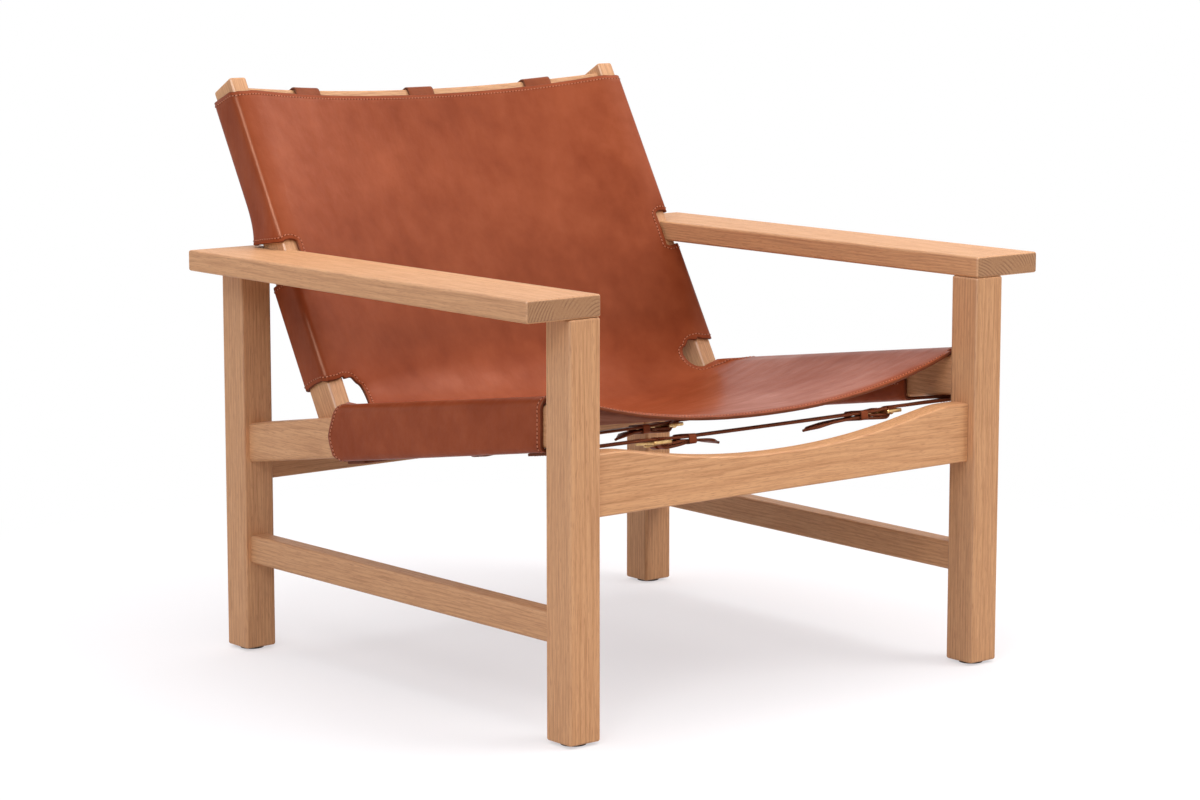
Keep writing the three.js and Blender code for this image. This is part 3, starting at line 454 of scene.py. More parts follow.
# Sling. One hide of saddle leather, 4 mm thick, makes seat and back. It is wrapped round the seat
# rails and the back posts, cut out at the corners for the posts and behind for the armrests, and
# sags between the rails and between the posts. Its cut edges are burnished.
hide_half, hide_rim = 0.002, 0.0009
sag_power = 2.2
sling_front, rail_gap, rail_gap_gain = 0.050, 0.0016, 0.011
seat_sag, seat_extra_fall = 0.0435, 0.022
side_bend, centre_bend = 0.040, 0.150
sling_top, sling_top_centre = 0.8165, 0.8135
belly_top, belly_gain, belly_span = 0.0275, 0.008, 0.3635
wrap_gap, wrap_bend, seat_wrap_bend, seat_ridge = 0.0008, 0.007, 0.012, 0.0034
inner_flap, rear_flap = 0.026, 0.024
notch_inner, notch_round, edge_drift = 0.263, 0.017, 0.020
roll_reach, roll_from, roll_full, arm_cover = 0.012, 1.6, 1.9, 0.51
front_curl, curl_reach = 0.0036, 0.040
gap_fall = rail_gap_gain / (frame_depth - leg_side)
held_off = -wrap_gap - hide_half


def profile(front, seat_way, top, back_way, radius):
    """A seat line and a back line in (y, z), joined by an arc: the place at 0 to 1, 1 to 2, 2 to 3."""
    front, top = np.array(front), np.array(top)
    seat_way, back_way = (np.array(way) / np.linalg.norm(way) for way in (seat_way, back_way))
    across = seat_way[0] * back_way[1] - seat_way[1] * back_way[0]
    gap = top - front
    corner = front + seat_way * (gap[0] * back_way[1] - gap[1] * back_way[0]) / across
    turn = math.acos(seat_way @ back_way)
    bend_start = corner - seat_way * radius * math.tan(turn / 2)
    bend_end = corner + back_way * radius * math.tan(turn / 2)
    centre = bend_start + radius * np.array((-seat_way[1], seat_way[0]))
    start_angle = math.atan2(*(bend_start - centre)[::-1])

    def place(s):
        if s <= 1:
            return front + (bend_start - front) * s
        if s <= 2:
            angle = start_angle + turn * (s - 1)
            return centre + radius * np.array((math.cos(angle), math.sin(angle)))
        return bend_end + (top - bend_end) * (s - 2)

    return place


def back_place(off, run):
    point = back_point(0, off, run)
    return point.y - front_y, point.z


def belly_off(run):
    return belly_top + belly_gain * (sling_top_centre - run) / belly_span


held_front = rail_top(sling_front) + rail_gap + hide_half
held = profile((sling_front, held_front), (1, gap_fall - rail_fall),
               back_place(held_off, sling_top), (math.sin(rake), math.cos(rake)), side_bend)
slack_top = np.array(back_place(belly_off(sling_top_centre), sling_top_centre))
slack_low_run = sling_top_centre - belly_span
slack_low = np.array(back_place(belly_off(slack_low_run), slack_low_run))
slack = profile((sling_front, held_front - seat_sag), (1, -rail_fall - seat_extra_fall / 2),
                slack_top, slack_top - slack_low, centre_bend)

# Places along the hide, from its front edge to its top: where its wraps and notches start and end.
wrap_front, notch_foot, notch_head = 0.0167, 1.4, 2.024
lower_wrap_head, upper_wrap_foot, turn_up_start = 2.373, 2.492, 0.186
notch_places, notch_across = (notch_foot, 1.6, 1.78, 1.92, notch_head), (-1, -0.5, 0, 0.5, 1)
swing_below, swing_above = 0.6, 0.2


def clamp(share):
    return min(max(share, 0), 1)


def smooth(share):
    """A share from 0 to 1, eased at both ends and held between them."""
    share = clamp(share)
    return share * share * (3 - 2 * share)


def blend(x, places, values):
    """A smooth curve through the values."""
    slopes = np.gradient(np.array(values, float), np.array(places, float))
    x = min(max(x, places[0]), places[-1])
    i = min(int(np.searchsorted(places, x, side="right")) - 1, len(places) - 2)
    span = places[i + 1] - places[i]
    t = (x - places[i]) / span
    return (values[i] + (values[i + 1] - values[i]) * smooth(t)
            + span * (slopes[i] * t * (1 - t) ** 2 - slopes[i + 1] * t * t * (1 - t)))


def panel_half(s):
    """Half the width between the rails' or the posts' inner edges, where the wraps begin."""
    seat_half = rail_outer(held(min(s, 1))[0]) - rail_width
    rise = clamp(s - 1)
    return seat_half * (1 - rise) + post_inner * rise


def seam_ease(s, past):
    """How far the hide rolls back over a post's inner edge, past it by some way, in (y, z)."""
    fade = clamp((s - roll_from) / (roll_full - roll_from))
    depth = max(0, roll_reach - abs(past)) ** 2 / (4 * roll_reach)
    return (slack(s) - held(s)) * fade * sag_power * depth / panel_half(s)


def panel_point(s, x):
    half = panel_half(s)
    share = min(1, abs(x) / half) ** sag_power
    y, z = slack(s) * (1 - share) + held(s) * share + seam_ease(s, abs(x) - half)
    z -= front_curl * (1 - share ** 3) * max(0, 1 - s / curl_reach) ** 2
    return np.array((x, y + front_y, z))


def notch_edge(s):
    """How far from the middle the panel is cut at a corner notch. It swings in before and after."""
    if notch_foot < s < notch_head:
        across = np.interp(s, notch_places, notch_across)
        return notch_inner + notch_round * (1 - math.sqrt(max(0, 1 - across * across)))
    near = 1 - (notch_foot - s) / swing_below if s <= notch_foot else 1 - (s - notch_head) / swing_above
    return notch_inner + notch_round * smooth(near)


# How far each edge of the wraps drifts along the rail or post, from the panel round to the flap, as
# shares of edge_drift. A wrap round a post has the shares of its foot and its head, and those of how
# far its foot flares from the post.
seat_rear_shares = (0, -1.5, -1.6, -1.5, -1.05, -1.5, -1.95, -2.2, -2.2, -2.2, -2.2, -2.3)
back_shares = {
    "lower": ((0.2, 0.05, 0, 0, 0.15, 0.3, 0.3, 0.3, 0.3, 0.3, 0.3, 0.3),
              (0, -0.2, -0.1, -0.05, 0, 0.1, 0.15, 0.15, 0.15, 0.15, 0.15, 0.15), (0,) * 12),
    "upper": ((-0.3, 0.02, 0.04, -0.05, 0.13, 0.53, 0.85, 0.97, 1.0, 1.0, 1.0, 1.0),
              (0, -0.05, -0.05, -0.05, 0.1, 0.2, 0.3, 0.35, 0.35, 0.35, 0.35, 0.3),
              (0, 0, 0, 0, 0.2, 0.35, 0.38, 0.35, 0.3, 0.25, 0.15, 0)),
}
stops = range(12)
seat_draw_from, drift_reach, slope_step, underside_end = 0.54, 0.35, 0.002, 8


def quarter_turn(centre, start, radius, share):
    angle = math.radians(start - 90 * share)
    return centre[0] + radius * math.cos(angle), centre[1] + radius * math.sin(angle)


def between(a, b, share):
    return a[0] + (b[0] - a[0]) * share, a[1] + (b[1] - a[1]) * share


def on_path(c, places, parts):
    """The point at c on a path. Each part lies between two places, and is a straight's two ends or a
    quarter turn's centre, starting angle and radius."""
    part = max(i for i, place in enumerate(places[:-1]) if i == 0 or c > place)
    share = (c - places[part]) / (places[part + 1] - places[part])
    return (between if len(parts[part]) == 2 else quarter_turn)(*parts[part], share)


def seat_section(y, c):
    """A point of the hide round a seat rail at y, in (x, z). c runs from 0 at the panel to 11."""
    outer = rail_outer(y) + wrap_gap + hide_half
    ridge = rail_top(y) + rail_gap + gap_fall * (y - leg_side) + hide_half + seat_ridge
    bottom = rail_top(y) - rail_height - wrap_gap - hide_half
    bare = rail_outer(y) - rail_width - wrap_gap - hide_half
    return on_path(c, (1, 3, 5, 7, 8, 10, 11), (
        ((outer - seat_wrap_bend, ridge - seat_wrap_bend), 90, seat_wrap_bend),
        ((outer, ridge - seat_wrap_bend), (outer, bottom + wrap_bend)),
        ((outer - wrap_bend, bottom + wrap_bend), 0, wrap_bend),
        ((outer - wrap_bend, bottom), (bare + wrap_bend, bottom)),
        ((bare + wrap_bend, bottom + wrap_bend), -90, wrap_bend),
        ((bare, bottom + wrap_bend), (bare, bottom + inner_flap)),
    ))


def back_section(c):
    """The same round a back post, in (x, off)."""
    outer = post_inner + post_width + wrap_gap + hide_half
    behind = post_depth + wrap_gap + hide_half
    x, ahead = on_path(c, (0, 2, 4, 6, 8, 11), (
        ((post_inner, -held_off), (outer - wrap_bend, -held_off)),
        ((outer - wrap_bend, -held_off - wrap_bend), 90, wrap_bend),
        ((outer, -held_off - wrap_bend), (outer, wrap_bend - behind)),
        ((outer - wrap_bend, wrap_bend - behind), 0, wrap_bend),
        ((outer - wrap_bend, -behind), (post_inner - rear_flap, -behind)),
    ))
    return x, -ahead


def wrap_part(s):
    if wrap_front <= s <= notch_foot:
        return "seat"
    if notch_head <= s <= lower_wrap_head:
        return "lower"
    if upper_wrap_foot <= s <= 3:
        return "upper"
    return None


def wrap_point(side, s, c):
    """A point of the hide round a rail or a post, c steps from the panel."""
    part = wrap_part(s)
    if part == "seat":
        draw = np.interp(s, (seat_draw_from, 1, notch_foot), (0, 0.75, 1))
        y = held(s)[0] + draw * edge_drift * blend(c, stops, seat_rear_shares)
        x, z = seat_section(y, max(c, 1))
        if c < 1:
            start, inner = (panel_point(s, panel_half(s) - back) for back in (0, slope_step))
            span = x - start[0]
            slope = (start[2] - inner[2]) / slope_step
            x = start[0] + span * c
            z = start[2] + (z - start[2]) * smooth(c) + span * slope * c * (1 - c) ** 2
        return np.array((side * x, y + front_y, z))
    run = (held(s)[1] + held_off * math.sin(rake)) / math.cos(rake)
    x, off = back_section(c)
    flare = 0
    if part:
        first, last = (upper_wrap_foot, 3) if part == "upper" else (notch_head, lower_wrap_head)
        reach = drift_reach * (last - first)
        at_foot, at_head = (max(0, 1 - far / reach) ** 2 for far in (s - first, last - s))
        foot_shares, head_shares, flare_shares = back_shares[part]
        run += edge_drift * (at_foot * blend(c, stops, foot_shares) + at_head * blend(c, stops, head_shares))
        flare = edge_drift * at_foot * blend(c, stops, flare_shares)
    roll = seam_ease(s, x - post_inner) if c < 2 or not part else (0, 0)
    return np.array(back_point(side * (x + flare / 2), off + flare, run)) + np.array((0, *roll))


# Rows of points along the hide, and steps out from its middle and round each wrap. They lie closer
# together where the hide bends.
seat_places = [0, 0.004, 0.008, 0.012, wrap_front, 0.022, *np.linspace(0.03, turn_up_start, 7)[:-1],
               *np.linspace(turn_up_start, 1, 26), 1.1, 1.2, 1.3]
round_turns = [-math.cos(math.pi * i / 16) for i in range(17)]
notch_rows = [float(np.interp(turn, notch_across, notch_places)) for turn in round_turns]
back_places = [*np.linspace(notch_head, lower_wrap_head, 16)[1:-1], lower_wrap_head,
               *np.linspace(lower_wrap_head, upper_wrap_foot, 6)[1:-1],
               *np.linspace(upper_wrap_foot, 3, 22)]
row_places = [*seat_places, *notch_rows, *back_places]
first_notch_row = len(seat_places)
last_notch_row = first_notch_row + len(notch_rows) - 1
wrap_spans = ((0, 1, 7), (1, 3, 7), (3, 5, 5), (5, 7, 7), (7, 8, 3), (8, 10, 6), (10, 11, 4))
wrap_steps = [step for span in wrap_spans for step in np.linspace(*span)[1:]]
inner_steps = list(np.linspace(0, 1, 21))
outer_steps = list(np.linspace(0, 1, 5))[1:]
wrap_count, panel_count = len(wrap_steps), len(inner_steps) + len(outer_steps) - 1


def half_row(side, row):
    """The points of one row from the chair's middle to the end of its wrap."""
    s = row_places[row]
    edge, half = notch_edge(s), panel_half(s)
    xs = [edge * step for step in inner_steps] + [edge + (half - edge) * step for step in outer_steps]
    points = [panel_point(s, side * x) for x in xs]
    if wrap_part(s) or lower_wrap_head < s < upper_wrap_foot:
        return points + [wrap_point(side, s, c) for c in wrap_steps]
    return points + [points[-1]] * wrap_count


def line_length(points):
    return sum(float(np.linalg.norm(b - a)) for a, b in zip(points, points[1:]))


def edge_length(places):
    return line_length([panel_point(s, panel_half(s)) for s in places])


def is_leather(row, step):
    """Whether the cell beyond this row and step, counted from the middle, is leather."""
    s, after = row_places[row], row_places[row + 1]
    in_notch = first_notch_row <= row < last_notch_row
    if step < len(inner_steps) - 1:
        return True
    if step < panel_count:
        return not in_notch
    if in_notch or s < wrap_front:
        return False
    turn = wrap_steps[step - panel_count]
    if s >= lower_wrap_head and after <= upper_wrap_foot:
        return turn < arm_cover
    return after > turn_up_start or turn < underside_end


grid = np.array([half_row(-1, row)[:0:-1] + half_row(1, row) for row in range(len(row_places))])
middle_step = panel_count + wrap_count
cells = []
for row in range(len(row_places) - 1):
    for column in range(2 * middle_step):
        step = column - middle_step if column >= middle_step else middle_step - 1 - column
        if is_leather(row, step):
            cells.append(((row, column), (row, column + 1), (row + 1, column + 1), (row + 1, column)))
ids = {}
for cell in cells:
    for at in cell:
        ids.setdefault(at, len(ids))
surface = np.array([grid[at] for at in ids])
quads = np.array([[ids[at] for at in cell] for cell in cells])
crosses = np.cross(surface[quads[:, 2]] - surface[quads[:, 0]], surface[quads[:, 3]] - surface[quads[:, 1]])
normals = np.zeros_like(surface)
for k in range(4):
    np.add.at(normals, quads[:, k], crosses)
normals /= np.linalg.norm(normals, axis=1)[:, None]

# The cut edge is rounded over between the hide's two faces.
edges = {(int(q[k]), int(q[(k + 1) % 4])) for q in quads for k in range(4)}
rim_edges = [(a, b) for a, b in edges if (b, a) not in edges]
outward_at = np.zeros_like(surface)
for a, b in rim_edges:
    away = np.cross(surface[b] - surface[a], normals[a] + normals[b])
    away /= max(np.linalg.norm(away), 1e-12)
    outward_at[a] += away
    outward_at[b] += away
count = len(surface)
points = list(surface + normals * hide_half) + list(surface - normals * hide_half)
faces = [tuple(q) for q in quads] + [tuple(count + i for i in reversed(q)) for q in quads]
finish_of = [0] * len(quads) + [1] * len(quads)
rim_turns = [45, 0, -45]
rim_ids = {}
for a in sorted({a for edge in rim_edges for a in edge}):
    away = outward_at[a] / np.linalg.norm(outward_at[a])
    rim_ids[a] = [a] + [len(points) + k for k in range(len(rim_turns))] + [count + a]
    for turn in map(math.radians, rim_turns):
        points.append(surface[a] + normals[a] * hide_half * math.sin(turn) + away * hide_rim * math.cos(turn))
for a, b in sorted(rim_edges):
    for k in range(len(rim_turns) + 1):
        faces.append((rim_ids[a][k], rim_ids[a][k + 1], rim_ids[b][k + 1], rim_ids[b][k]))
        finish_of.append(2)


def leather_finish(name, light, mid, deep, shine, cloud=0.3, pore_depth=0.3, gloss=0.12):
    """Vegetable-tanned leather with fine pores. Clouds and streaks of paler and deeper colour run
    across the seat and up the back, whose small is darkened by painted shade. shine is its roughness."""
    finish, tree = new_finish(name)
    where = add(tree, "ShaderNodeTexCoord", {}).outputs["Object"]
    at = add(tree, "ShaderNodeSeparateXYZ", {0: where}).outputs
    on_back = rerange(tree, at["Y"], 0.06, 0.13, interpolation_type="SMOOTHSTEP")
    streak = add(tree, "ShaderNodeMix", {0: on_back, 2: noise(tree, where, (7, 44, 44), 3),
                                         3: noise(tree, where, (42, 42, 9), 3)}).outputs[0]
    clouds, blots = noise(tree, where, 7, 5, 0.62), noise(tree, where, 31, 3, 0.6)
    mixed = calc(tree, "MULTIPLY_ADD", streak, 0.36, calc(tree, "MULTIPLY_ADD", blots, 0.4, clouds))
    mixed = calc(tree, "SUBTRACT", mixed, 0.18)
    tone = rerange(tree, mixed, 0.7 - cloud, 0.7 + cloud)
    colour = ramp(tree, tone, [(0.1, deep), (0.5, mid), (0.9, light)])
    # Painted shade: on the back the colour is darkened most just above the bend, at 0.4 m high, and less up
    # to 0.6 m. It stands in for the shade of the seat and arms.
    low_back_painted_shade = ramp(tree, at["Z"], [(0.35, [0.03] * 3), (0.40, [0.26] * 3), (0.60, [0.07] * 3)])
    kept = calc(tree, "SUBTRACT", 1.07, calc(tree, "MULTIPLY", low_back_painted_shade, on_back))
    pores = add(tree, "ShaderNodeTexVoronoi", {"Vector": where, "Scale": 620}, feature="F1")
    creases = noise(tree, where, 210, 4, 0.65)
    relief = calc(tree, "MULTIPLY_ADD", pores.outputs["Distance"], 0.5, creases)
    waves = bump(tree, streak, 0.3, 0.003)
    finish_surface(tree, scaled(tree, colour, kept),
                   rerange(tree, mixed, 0.5, 0.9, shine + 0.06, shine - 0.05),
                   bump(tree, relief, pore_depth, 0.0006, Normal=waves),
                   {"Specular IOR Level": gloss, "Specular Tint": (1, 0.66, 0.48, 1)})
    return finish


sling_leather = leather_finish("sling_leather", (0.340, 0.079, 0.030), (0.282, 0.059, 0.0205),
                               (0.229, 0.0425, 0.0133), 0.36, pore_depth=0.20)
flesh_side = leather_finish("flesh_side", (0.330, 0.128, 0.078), (0.275, 0.098, 0.058),
                            (0.205, 0.068, 0.040), 0.85, cloud=0.2, pore_depth=0.5, gloss=0.04)
burnished = leather_finish("burnished_edge", (0.220, 0.062, 0.026), (0.165, 0.044, 0.019),
                           (0.110, 0.030, 0.013), 0.42)
sling = make_piece("sling_hide", (points, faces), [sling_leather, flesh_side, burnished],
                   ["sling"], sharp=180)
sling.data.polygons.foreach_set("material_index", finish_of)
hide_width = max(2 * line_length(half_row(1, row)) for row in range(len(row_places)))
edge_length(row_places)


# Loops. Three bands of strap leather go round the top rail and hold the sling's head to it. Each
# is closed on itself, and its front lies between the rail and the sling.
loop_width, loop_thickness, loop_spacing = 0.042, 0.003, 0.190
loop_corner, loop_spans, loop_run = 0.0055, 10, 0.775
front_from, front_full = 0.008, 0.012
strap_leather = leather_finish("strap_leather", (0.310, 0.082, 0.034), (0.255, 0.062, 0.024),
                               (0.190, 0.042, 0.016), 0.42)
edge_turns = [math.radians(turn) for turn in (55, 20, -20, -55)]


def band(line, halves, thickness, place, closed=False, spans=4):
    """A strip of leather along a line, with rounded edges: its points, faces and their finishes."""
    line = [np.array(at) for at in line]
    count, rounding, points = len(line), 0.4 * thickness, []
    for i, at in enumerate(line):
        before = line[i - 1] if i or closed else at
        after = line[(i + 1) % count] if i < count - 1 or closed else at
        way = (after - before) / np.linalg.norm(after - before)
        flat = halves[i] - rounding
        ring = [(-flat + 2 * flat * k / spans, thickness / 2) for k in range(spans + 1)]
        ring += [(flat + rounding * math.cos(t), thickness / 2 * math.sin(t)) for t in edge_turns]
        ring += [(-over, -off) for over, off in ring]
        points += [place(at[0] - way[1] * off, at[1] + way[0] * off, over) for over, off in ring]
    size = 2 * (spans + 1 + len(edge_turns))
    strips = count if closed else count - 1
    finishes = [int(k % (size // 2) >= spans) for k in range(size)] * strips + [1, 1] * (not closed)
    return points, tube_faces(count, size, closed), finishes


def together(solids):
    points, faces = [], []
    for solid_points, solid_faces in solids:
        faces += [tuple(len(points) + i for i in face) for face in solid_faces]
        points += solid_points
    return points, faces


def make_leather(name, parts, nodes):
    """Joins bands into one piece, with their faces in strap leather and their edges burnished."""
    solid = together([part[:2] for part in parts])
    piece = make_piece(name, solid, [strap_leather, burnished], nodes, sharp=50)
    finishes = [finish for part in parts for finish in part[2]]
    piece.data.polygons.foreach_set("material_index", finishes)
    return piece


def loop_slack(x):
    """How far the front of a loop at x stands off the rail to lie against the sling."""
    slack_off = belly_off(loop_run)
    behind = slack_off + (held_off - slack_off) * (abs(x) / post_inner) ** sag_power + hide_half
    return max(0, top_rail_inset + bow_at(x) - loop_thickness - 2 * joint_gap - behind)


def loop_place(middle):
    def place(off, run, across):
        x = middle + across
        ahead = clamp((-off - front_from) / (front_full - front_from))
        off += top_rail_off + bow_at(x) - ahead * loop_slack(x)
        return back_point(x, off, top_rail_middle + run)
    return place


loop_line = section_ring(top_rail_thickness + 2 * joint_gap + loop_thickness,
                         top_rail_height + 2 * joint_gap + loop_thickness, loop_corner)
for word, middle in (("left", -loop_spacing), ("middle", 0), ("right", loop_spacing)):
    ring = band(loop_line, [loop_width / 2] * len(loop_line), loop_thickness, loop_place(middle),
                closed=True, spans=loop_spans)
    make_leather(f"{word}_loop", [ring], [f"loop_{word}"])


# Strap sets. Two pairs of billets under the seat and two behind the back are sewn to the flaps of
# the sling, and a buckled centre strap draws each pair together. The centre strap folds round the
# bars of its buckles; each billet passes behind the crossbar, over the fold and through a keeper.
strap_half, strap_thickness, layer = 0.014, 0.0032, 0.00175
bar_radius, fold_radius, over_fold = 0.002, 0.0039, 0.0074
fold_return, fold_neck, neck_off = 0.028, 0.0078, 0.00312
keeper_from, keeper_to, keeper_half, keeper_wall = 0.032, 0.044, 0.01385, 0.002
keeper_low, keeper_high, keeper_corner, cut_reach = -0.00325, 0.00475, 0.0022, 0.03
billet_half, root_half, flare_length, tip_length = 0.013, 0.018, 0.034, 0.016
billet_in_keeper, billet_low, billet_stack = 0.00285, -0.00415, 0.01085
slot_half, hole_radius, hole_places = 0.0029, 0.0019, (-0.018, -0.058, -0.078, -0.098)
crossbar, arm_across, frame_side, frame_corner = 0.022, 0.01775, 0.0045, 0.0035
frame_edge, end_ease, tip_from, bare_tail = 0.0012, 0.0008, 0.022, 0.012
eye_middle, eye_wall, eye_width, eye_edge = 0.0031, 0.0016, 0.0040, 0.0005
prong_width, prong_tip, shank_low, shank_high = 0.0032, 0.0255, 0.00161, 0.00369
low_rise, high_rise, tip_drop, billet_margin = 0.00094, 0.00146, 0.0013, 0.006
seam_head, seam_tail, root_seam_half, tip_half = 0.028, 0.005, 0.0135, 0.002

brass, tree = new_finish("brass")
where = add(tree, "ShaderNodeTexCoord", {}).outputs["Object"]
tarnish = noise(tree, where, 160, 5, 0.6)
brass_tone = ramp(tree, tarnish, [(0.3, (0.56, 0.34, 0.13)), (0.5, (0.72, 0.47, 0.20)),
                                  (0.75, (0.82, 0.57, 0.29))])
scratches = noise(tree, where, (300, 2600, 2600), 2)
finish_surface(tree, brass_tone, rerange(tree, tarnish, 0.3, 0.7, 0.42, 0.24),
               bump(tree, scratches, 0.12, 0.0002), {"Metallic": 1.0})


def eased(line):
    """The same line with its corners cut twice and its ends kept."""
    for _ in range(2):
        cut = [line[0]]
        for a, b in zip(line, line[1:]):
            cut += [between(a, b, 0.25), between(a, b, 0.75)]
        line = [*cut, line[-1]]
    return line


def turned(radius, start, end, steps):
    turns = [math.radians(start + (end - start) * i / steps) for i in range(steps + 1)]
    return [(radius * math.cos(t), radius * math.sin(t)) for t in turns]


def slot_solid(place, low, high):
    """The slot that a prong passes through, as a box from low to high along the strap."""
    ring = [(slot_half * u, cut_reach * v) for u, v in ((-1, -1), (1, -1), (1, 1), (-1, 1))]
    return [place(along, off, over) for along in (low, high) for over, off in ring], tube_faces(2, 4)


def hole_solid(place, middle):
    """A punched hole, as a round rod through the strap."""
    points = [place(middle + along, off, over) for off in (-cut_reach, cut_reach)
              for along, over in turned(hole_radius, 0, 360, 12)[:-1]]
    return points, tube_faces(2, 12)


def centre_strap(place, bar_xs):
    """The centre strap with its two folded ends and its keepers."""
    fold = [(-fold_return, layer), (-fold_neck, neck_off), *turned(fold_radius, 90, -90, 8),
            (-fold_neck, -neck_off), (-fold_return, -layer)]
    left, right = ([(bar_x + way * along, off) for along, off in fold]
                   for way, bar_x in zip(sides.values(), bar_xs))
    line = eased([*left, *reversed(right)])
    parts = [band(line, [strap_half] * len(line), strap_thickness, place)]
    high, low = keeper_high + keeper_wall / 2, keeper_low - keeper_wall / 2
    ring = section_ring(2 * keeper_half + keeper_wall, high - low, keeper_corner)
    for way, bar_x in zip(sides.values(), bar_xs):
        middle = bar_x - way * (keeper_from + keeper_to) / 2
        parts.append(band(ring, [(keeper_to - keeper_from) / 2] * len(ring), keeper_wall,
                          lambda over, off, along: place(middle + along, off + (high + low) / 2, over),
                          closed=True))
    return parts


def billet_band(place, root, tail):
    """A billet, from its loose pointed end through the keeper, over the fold and behind the crossbar
    to the flap. place counts along from the buckle's bar."""
    end = (-tail, billet_in_keeper + over_fold)
    tail_middle = (-(tail + keeper_to) / 2, billet_in_keeper + strap_thickness / 2)
    line = eased([
        *[between(end, tail_middle, share) for share in (0, 0.15, 0.4, 0.7, 1)],
        (-keeper_to, billet_in_keeper), (-keeper_from, billet_in_keeper),
        (-0.0288, 0.00525), (-fold_neck, 0.00718), *turned(over_fold, 90, 25, 5),
        (0.0156, -0.00249), (0.0188, billet_low), (0.0252, -0.00445), (0.0316, billet_low),
        *[(root - back, billet_low) for back in (0.068, 0.060, 0.051, 0.042, 0.034, 0)]])
    halves = []
    for along, _ in line:
        flare = smooth((along - root + 2 * flare_length) / flare_length)
        half = billet_half + (root_half - billet_half) * flare
        halves.append(max(tip_half, min(half, billet_half * (along + tail) / tip_length)))
    return band(line, halves, strap_thickness, place)


def buckle_frame(place):
    """The cast U with its crossbar, and the round bar between its open ends."""
    bend = [(crossbar - frame_corner + along, frame_corner - arm_across + over)
            for along, over in turned(frame_corner, -90, 0, 6)]
    half = [(-frame_side / 2, -arm_across), (end_ease - frame_side / 2, -arm_across), *bend]
    path = [np.array(at) for at in [*half, *[(along, -over) for along, over in reversed(half)]]]
    points = []
    for i, at in enumerate(path):
        way = path[min(i + 1, len(path) - 1)] - path[max(i - 1, 0)]
        way /= np.linalg.norm(way)
        inset = end_ease if i in (0, len(path) - 1) else 0
        ring = section_ring(frame_side - 2 * inset, frame_side - 2 * inset, frame_edge)
        points += [place(at[0] - way[1] * u, v, at[1] + way[0] * u) for u, v in ring]
    frame_solid = points, tube_faces(len(path), 4 * (round_steps + 1))
    points = [place(along, off, over) for over in (-arm_across, arm_across)
              for along, off in turned(bar_radius, 0, 360, 24)[:-1]]
    return together([frame_solid, (points, tube_faces(2, 24))])


def prong_solid(place):
    """The prong: an eye round the buckle's bar and a shank that tapers to its rounded tip."""
    size, steps = 4 * (round_steps + 1), 28
    eye_ring = section_ring(eye_wall, eye_width, eye_edge)
    eye = [place((eye_middle + u) * x, (eye_middle + u) * y, v)
           for x, y in turned(1, 0, 360, steps)[:-1] for u, v in eye_ring]
    shank, stations = [], (0.0025, 0.006, 0.011, 0.016, 0.020, 0.022, 0.0236, 0.0248, prong_tip)
    for along in stations:
        tip = max(0, along - tip_from) / (prong_tip - tip_from)
        low = shank_low + low_rise * along / prong_tip
        high = shank_high + high_rise * min(along, tip_from) / tip_from - tip_drop * tip
        across = prong_width * (1 - 0.25 * along / prong_tip) * math.sqrt(max(0.08, 1 - tip * tip))
        for u, v in section_ring(across, high - low, 0.32 * min(across, high - low)):
            shank.append(place(along, (low + high) / 2 + v, u))
    return together([(eye, tube_faces(steps, size, closed=True)), (shank, tube_faces(len(stations), size))])


def under_seat(y):
    fall = math.atan(rail_fall)
    down = Vector((0, -math.sin(fall), -math.cos(fall)))
    start = Vector((0, front_y + y, rail_top(y) - rail_height)) + down * billet_stack
    return start, down, rail_outer(y) - billet_margin


def behind_back(run):
    return back_point(0, post_depth + billet_stack, run), behind_post, post_inner + post_width - billet_margin


# Each set's place, where the bars of its left and right buckle lie, and how far the billets' loose
# tails run past them.
strap_sets = (
    ("seat_front", under_seat(0.076), (-0.150, 0.205), (0.090, 0.128)),
    ("seat_rear", under_seat(0.425), (-0.150, 0.150), (0.080, 0.080)),
    ("back_lower", behind_back(0.490), (-0.100, 0.100), (0.080, 0.080)),
    ("back_upper", behind_back(0.690), (-0.100, 0.100), (0.080, 0.080)),
)
billet_seams = []
for name, (start, away, root_x), bar_xs, tails in strap_sets:
    across = away.cross(x_axis)

    def set_place(along, off, over):
        return start + x_axis * along + across * over + away * off

    strap = make_leather(f"{name}_centre_strap", centre_strap(set_place, bar_xs), [f"strap_{name}"])
    slots = [slot_solid(set_place, bar_x - fold_neck, bar_x + fold_neck) for bar_x in bar_xs]
    cut_out(strap, together(slots))
    for (word, way), bar_x, tail in zip(sides.items(), bar_xs, tails):
        def bar_place(along, off, over):
            return set_place(bar_x + way * along, off, over)

        root = root_x - way * bar_x
        billet = billet_band(bar_place, root, tail)
        piece = make_leather(f"{name}_{word}_billet", [billet], [f"billet_{name}_{word}"])
        cuts = [slot_solid(bar_place, -strap_thickness, crossbar - strap_thickness)]
        cuts += [hole_solid(bar_place, at) for at in hole_places if at > bare_tail - tail]
        cut_out(piece, together(cuts))
        top = billet_low + strap_thickness / 2
        sewn = [(root - back, over * root_seam_half) for back, over in (
            (seam_head, -1), (seam_tail, -1), (seam_tail, 1), (seam_head, 1), (seam_head, -1))]
        billet_seams.append([(np.array(bar_place(along, top, over)), np.array(away))
                             for along, over in sewn])
        make_piece(f"{name}_{word}_buckle", buckle_frame(bar_place), [brass],
                   [f"buckle_{name}_{word}"], sharp=50)
        make_piece(f"{name}_{word}_prong", prong_solid(bar_place), [brass],
                   [f"prong_{name}_{word}"], body=f"prong_{name}_{word}_body", sharp=50)
